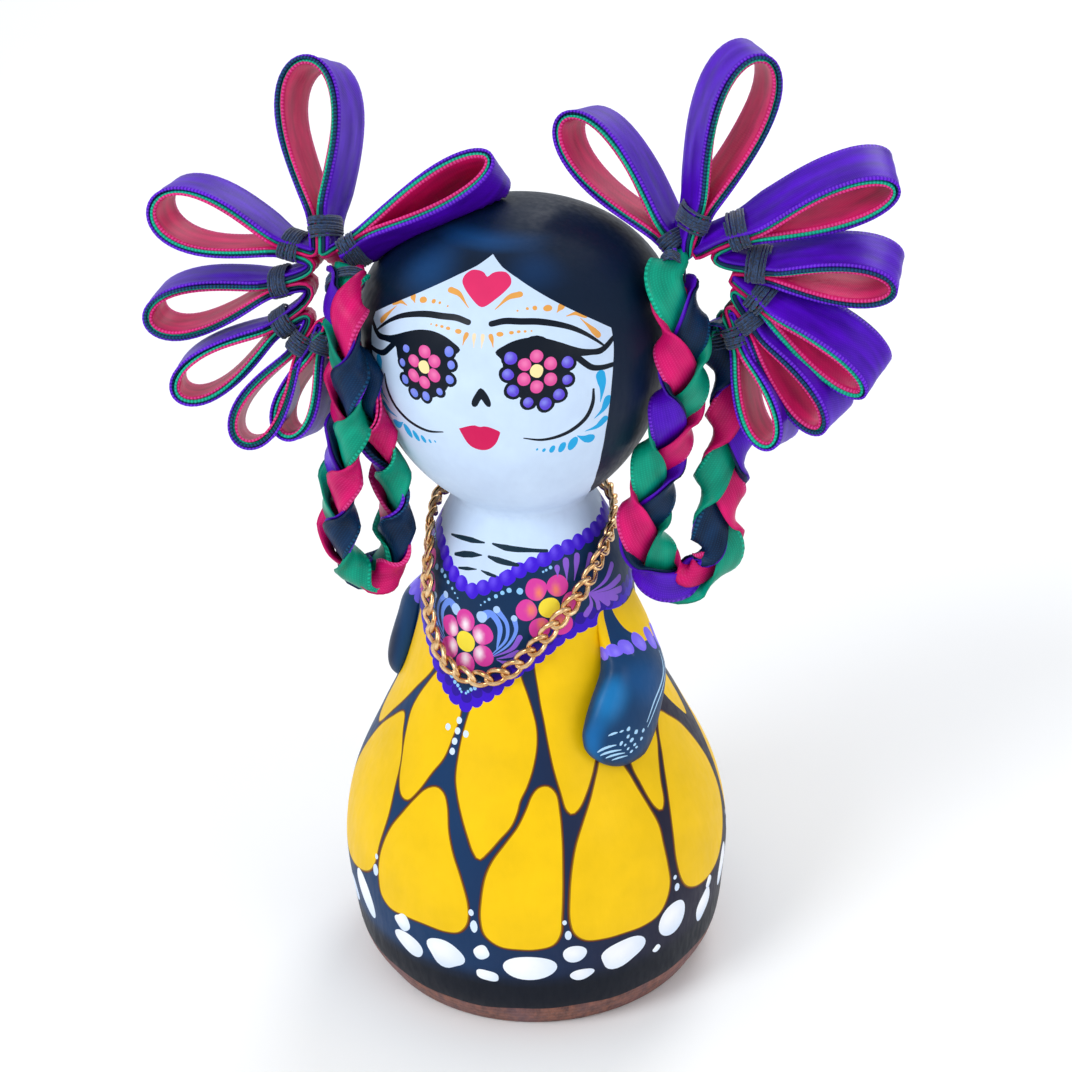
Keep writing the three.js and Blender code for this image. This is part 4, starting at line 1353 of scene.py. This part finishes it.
def ribbon_piece(name, rows, order, seed, squash, material):
    """A closed strip through the rows, with a thicker edge and soft creases."""
    from mathutils import noise
    points, uvs, faces = [], [], []
    reach = 0.0
    ring = 2 * (COLUMNS + 1)
    for i, row in enumerate(rows):
        before, after = rows[max(i - 1, 0)].middle, rows[min(i + 1, len(rows) - 1)].middle
        if i:
            reach += (row.middle - rows[i - 1].middle).length
        along = (after - before).normalized()
        facing = order * along.cross(row.across) if row.facing is None else row.facing
        facing = (facing - along * facing.dot(along)).normalized()
        across = row.across
        spots = [rolled(2 * c / COLUMNS - 1, row.half, row.roll, squash) for c in range(COLUMNS + 1)]
        front, back = [], []
        for c, (x, y) in enumerate(spots):
            v = 2 * c / COLUMNS - 1
            ahead, behind = spots[min(c + 1, COLUMNS)], spots[max(c - 1, 0)]
            slope = Vector((ahead[0] - behind[0], ahead[1] - behind[1])).normalized()
            lift = Vector((-slope.y, slope.x))
            pleat = 0.1 * math.sin(9 * v + seed) * row.pinch * (1 - row.roll)
            crease = noise.noise(Vector((reach / 9, 2.2 * v, seed))) * mix(0.16, 0.3, row.roll)
            half = RIBBON_THICKNESS / 2 * (1.25 if c in (0, COLUMNS) else 1)
            for side, store in ((1, front), (-1, back)):
                flat_spot = Vector((x, y)) + lift * (side * half + pleat + crease)
                store.append(clear_of_body(row.middle + across * flat_spot.x + facing * flat_spot.y, 0.15))
        points += front + back[::-1]
        width = [row.half * (2 * c / COLUMNS - 1) for c in range(COLUMNS + 1)]
        uvs += [(reach, w) for w in width + width[::-1]]
        if i:
            base = (i - 1) * ring
            for k in range(ring):
                after_k = (k + 1) % ring
                faces.append((base + k, base + after_k, base + ring + after_k, base + ring + k))
    for base, flip in ((0, False), ((len(rows) - 1) * ring, True)):
        for c in range(COLUMNS):
            face = (base + c, base + ring - 1 - c, base + ring - 2 - c, base + c + 1)
            faces.append(face[::-1] if flip else face)
    ribbon = mesh_piece(name, points, faces, [material], uvs=uvs)
    fix_normals(ribbon)
    return ribbon, reach


def fix_normals(piece):
    import bmesh
    work = bmesh.new()
    work.from_mesh(piece.data)
    bmesh.ops.recalc_face_normals(work, faces=work.faces)
    work.to_mesh(piece.data)
    work.free()


def make_ribbon(side, name, colour, seed, material):
    stack = rosette_rows(side)
    order = side["order"]
    rows = []
    for i, row in enumerate(stack):
        facing = facing_of(stack, i, order)
        drift = 0.35 * math.sin(i / 17 + 2.1 * seed)
        fresh = Row(row.middle + facing * STACK[colour] + row.across * drift, row.across, row.half,
                    pinch=row.pinch)
        rows.append(fresh)
    strand = strand_rows(side, colour)
    way_in = (rows[-1].middle - rows[-2].middle).normalized()
    way_out = (strand[1].middle - strand[0].middle).normalized()
    gap = (strand[0].middle - rows[-1].middle).length
    last = Row(rows[-1].middle, rows[-1].across, rows[-1].half, pinch=1)
    rows += joining_rows(last, way_in, strand[0], way_out, 14, 1.4 * gap)
    for row in rows[-13:]:
        row.facing = None
    rows += strand
    squash = 0.16 if colour in ("violet", "navy") else 0.24
    ribbon, length = ribbon_piece(f"{name}_{colour}_ribbon", rows, order, seed, squash, material)
    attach(ribbon, "root")
    return ribbon, length


# Thread and chain, made along paths with Geometry Nodes


def nodes_tree(name, inputs):
    tree = bpy.data.node_groups.new(name, "GeometryNodeTree")
    tree.interface.new_socket("Geometry", in_out="INPUT", socket_type="NodeSocketGeometry")
    tree.interface.new_socket("Geometry", in_out="OUTPUT", socket_type="NodeSocketGeometry")
    for socket, kind in inputs:
        tree.interface.new_socket(socket, in_out="INPUT", socket_type=kind)
    return tree, tree.nodes.new("NodeGroupInput").outputs, tree.nodes.new("NodeGroupOutput").inputs[0]


def thread_tree():
    tree, given, result = nodes_tree("thread along a line", [
        ("Thickness", "NodeSocketFloat"), ("Sides", "NodeSocketInt"), ("Finish", "NodeSocketMaterial")])
    half = put(tree, "ShaderNodeMath", {"operation": "MULTIPLY", 1: 0.5}, {0: given["Thickness"]})
    profile = put(tree, "GeometryNodeCurvePrimitiveCircle", (),
                  {"Radius": half.outputs[0], "Resolution": given["Sides"]})
    swept = put(tree, "GeometryNodeCurveToMesh", {"Fill Caps": True},
                {"Curve": given["Geometry"], "Profile Curve": profile.outputs["Curve"]})
    end_tree(tree, swept.outputs["Mesh"], given["Finish"], result)
    return tree


def end_tree(tree, geometry, finish, result):
    real = put(tree, "GeometryNodeRealizeInstances", (), {"Geometry": geometry})
    smooth = put(tree, "GeometryNodeSetShadeSmooth", (), {"Geometry": real.outputs[0]})
    coated = put(tree, "GeometryNodeSetMaterial", (), {"Geometry": smooth.outputs[0], "Material": finish})
    tree.links.new(coated.outputs[0], result)


def chain_tree():
    tree, given, result = nodes_tree("links along a loop", [
        ("Count", "NodeSocketInt"), ("Length", "NodeSocketFloat"), ("Width", "NodeSocketFloat"),
        ("Wire", "NodeSocketFloat"), ("Twist", "NodeSocketFloat"), ("Finish", "NodeSocketMaterial")])

    def sums(operation, a, b):
        node = put(tree, "ShaderNodeMath", {"operation": operation})
        for index, value in enumerate((a, b)):
            if isinstance(value, (int, float)):
                node.inputs[index].default_value = value
            else:
                tree.links.new(value, node.inputs[index])
        return node.outputs[0]

    places = put(tree, "GeometryNodeCurveToPoints", {"mode": "COUNT"},
                 {"Curve": given["Geometry"], "Count": given["Count"]})
    level = put(tree, "ShaderNodeVectorMath", {"operation": "MULTIPLY", 1: (1, 1, 0)},
                {0: put(tree, "GeometryNodeInputPosition").outputs[0]})
    along = put(tree, "FunctionNodeAlignRotationToVector", {"axis": "X"}, {"Vector": places.outputs["Tangent"]})
    out = put(tree, "FunctionNodeAlignRotationToVector", {"axis": "Z", "pivot_axis": "X"},
              {"Rotation": along.outputs[0], "Vector": level.outputs[0]})
    oval = put(tree, "ShaderNodeCombineXYZ", {"Z": 1.0},
               {"X": sums("SUBTRACT", given["Length"], given["Wire"]),
                "Y": sums("SUBTRACT", given["Width"], given["Wire"])})
    circle = put(tree, "GeometryNodeCurvePrimitiveCircle", {"Radius": 0.5, "Resolution": 18})
    ring = put(tree, "GeometryNodeTransform", (), {"Geometry": circle.outputs["Curve"], "Scale": oval.outputs[0]})
    wire = put(tree, "GeometryNodeCurvePrimitiveCircle", {"Resolution": 8},
               {"Radius": sums("MULTIPLY", given["Wire"], 0.5)})
    spot = put(tree, "GeometryNodeInputPosition").outputs[0]
    along_link = put(tree, "ShaderNodeSeparateXYZ", (), {0: spot}).outputs["X"]
    share = sums("DIVIDE", along_link, sums("MULTIPLY", given["Length"], 0.5))
    wrung = put(tree, "ShaderNodeVectorRotate", {"rotation_type": "X_AXIS"},
                {"Vector": spot, "Angle": sums("MULTIPLY", share, given["Twist"])})
    twisted = put(tree, "GeometryNodeSetPosition", (), {"Geometry": ring.outputs[0], "Position": wrung.outputs[0]})
    link = put(tree, "GeometryNodeCurveToMesh", (),
               {"Curve": twisted.outputs[0], "Profile Curve": wire.outputs["Curve"]})
    copies = put(tree, "GeometryNodeInstanceOnPoints", (),
                 {"Points": places.outputs["Points"], "Instance": link.outputs["Mesh"],
                  "Rotation": out.outputs[0]})
    end_tree(tree, copies.outputs[0], given["Finish"], result)
    return tree


def along_lines(name, lines, closed, tree, **values):
    """Runs a tree on lines given in millimetres, and leaves a plain mesh."""
    curve = bpy.data.curves.new(name + "_line", "CURVE")
    curve.dimensions = "3D"
    for line in lines:
        spline = curve.splines.new("POLY")
        spline.points.add(len(line) - 1)
        for spot, point in zip(spline.points, line):
            spot.co = (*(point * MM), 1)
        spline.use_cyclic_u = closed
    holder = bpy.data.objects.new(name + "_line", curve)
    bpy.context.scene.collection.objects.link(holder)
    modifier = holder.modifiers.new("make", "NODES")
    modifier.node_group = tree
    for item in tree.interface.items_tree:
        if item.in_out == "INPUT" and item.name in values:
            modifier[item.identifier] = values[item.name]
    bpy.context.view_layer.update()
    made = holder.evaluated_get(bpy.context.evaluated_depsgraph_get())
    mesh = bpy.data.meshes.new_from_object(made)
    mesh.name = name
    holder.modifiers.remove(modifier)
    bpy.data.objects.remove(holder)
    piece = bpy.data.objects.new(name, mesh)
    bpy.context.scene.collection.objects.link(piece)
    return piece


CHAIN_ROUTE = [(-140, 94.4), (-100, 92.6), (-70, 90.8), (-57, 88), (-48, 83.5), (-44, 79), (-40, 75), (-34, 71.5),
               (-26, 69.4), (-16, 68.6), (-6, 69), (5, 71.2), (15, 74.8), (26, 79), (38, 82.8), (51, 86.2),
               (66, 89), (86, 91.2), (110, 92.8), (145, 94.6), (180, 95.4)]
CHAIN_LIFT = 1.75


def make_necklace(material):
    route = smooth_curve([off_body(*spot, CHAIN_LIFT) for spot in CHAIN_ROUTE], 400, closed=True)
    necklace = along_lines("gold_necklace", [route], True, chain_tree(), Count=41, Length=0.0052, Width=0.0035,
                           Wire=0.00096, Twist=math.radians(45), Finish=material)
    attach(necklace, "root")
    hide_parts("necklace_chain")
    return necklace


def winding(place, middle, first, pitch, turns, half_y, half_z, chance):
    """A thread wound round a bundle that lies along x."""
    line = []
    slips = [chance.uniform(-0.25, 0.25) for _ in range(turns + 2)]
    for step in range(turns * 16 + 1):
        turn = step / 16
        angle = 2 * math.pi * turn
        slip = mix(slips[int(turn)], slips[int(turn) + 1], turn % 1)
        x = first + pitch * turn + slip
        line.append(clear_of_body(place @ (middle + Vector((
            x, half_y * math.cos(angle), half_z * math.sin(angle)))), 0.2))
    return line


def make_thread(name, side, tree, material):
    chance = random.Random(len(name) * 11 + 3)
    lines = []
    for loop in side["loops"]:
        place = loop_place(side, loop)
        lines.append(winding(place, Vector((0, 0, -4.2)), 0.4, 0.5, 7, 2.3, 4.3, chance))
        lines.append(winding(place, Vector((0, 0, -4.2)), 3.6, -0.48, 6, 2.45, 4.5, chance))
    for at in (2, 174):
        point, along, wide, face = plait_frames(side)[at]
        place = Matrix.Translation(point) @ Matrix((along, wide, face)).transposed().to_4x4()
        lines.append(winding(place, Vector((0, 0, 0)), -1.2, 0.6, 5, 3.4, 2.1, chance))
    thread = along_lines(name, lines, False, tree, Thickness=0.00042, Sides=6, Finish=material)
    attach(thread, "root")
    return thread


# Building the scene

make_camera()
make_studio()
marks = brush_marks_group()
figure_paint = paint_material("figure_paint", marks, (1, 1, 0.3), 0.06)
figure = make_figure(figure_paint, bare_wood_material())
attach(figure, "root")
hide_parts("turned_figure")

arm_paint = paint_material("arm_paint", marks, (1, 1, 0.4), 0.08)
for name, route, lift, side in (("left_arm", LEFT_ARM, LEFT_ARM_LIFT, 1), ("right_arm", RIGHT_ARM, RIGHT_ARM_LIFT, -1)):
    arm = make_arm("painted_" + name, route, lift, side, arm_paint)
    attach(arm, "root")
    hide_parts(name)

weave = weave_group()
satins = {
    "violet": satin_material("violet_satin", weave, "#5200C4", "#360090", "#8E40FF", 0.3),
    "navy": satin_material("navy_satin", weave, "#052A50", "#02122A", "#1A6496", 0.6),
    "green": satin_material("green_satin", weave, "#009A7C", "#00725C", "#18DCB2", 0.3),
    "pink": satin_material("pink_satin", weave, "#DA0468", "#A80050", "#FF5CB0", 0.3),
}
thread_maker = thread_tree()
thread_finish = thread_material()
for name, side in (("right", RIGHT_SIDE), ("left", LEFT_SIDE)):
    for seed, colour in enumerate(STACK):
        ribbon, length = make_ribbon(side, name, colour, seed + 0.5, satins[colour])
        if colour == "violet":
            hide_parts(name + "_ribbons")
    thread = make_thread(name + "_thread", side, thread_maker, thread_finish)

make_necklace(gold_material())

floor = mesh_piece("floor", [(-3000, -3000, 0), (3000, -3000, 0), (3000, 3000, 0), (-3000, 3000, 0)],
                   [(0, 1, 2, 3)], [floor_material()])
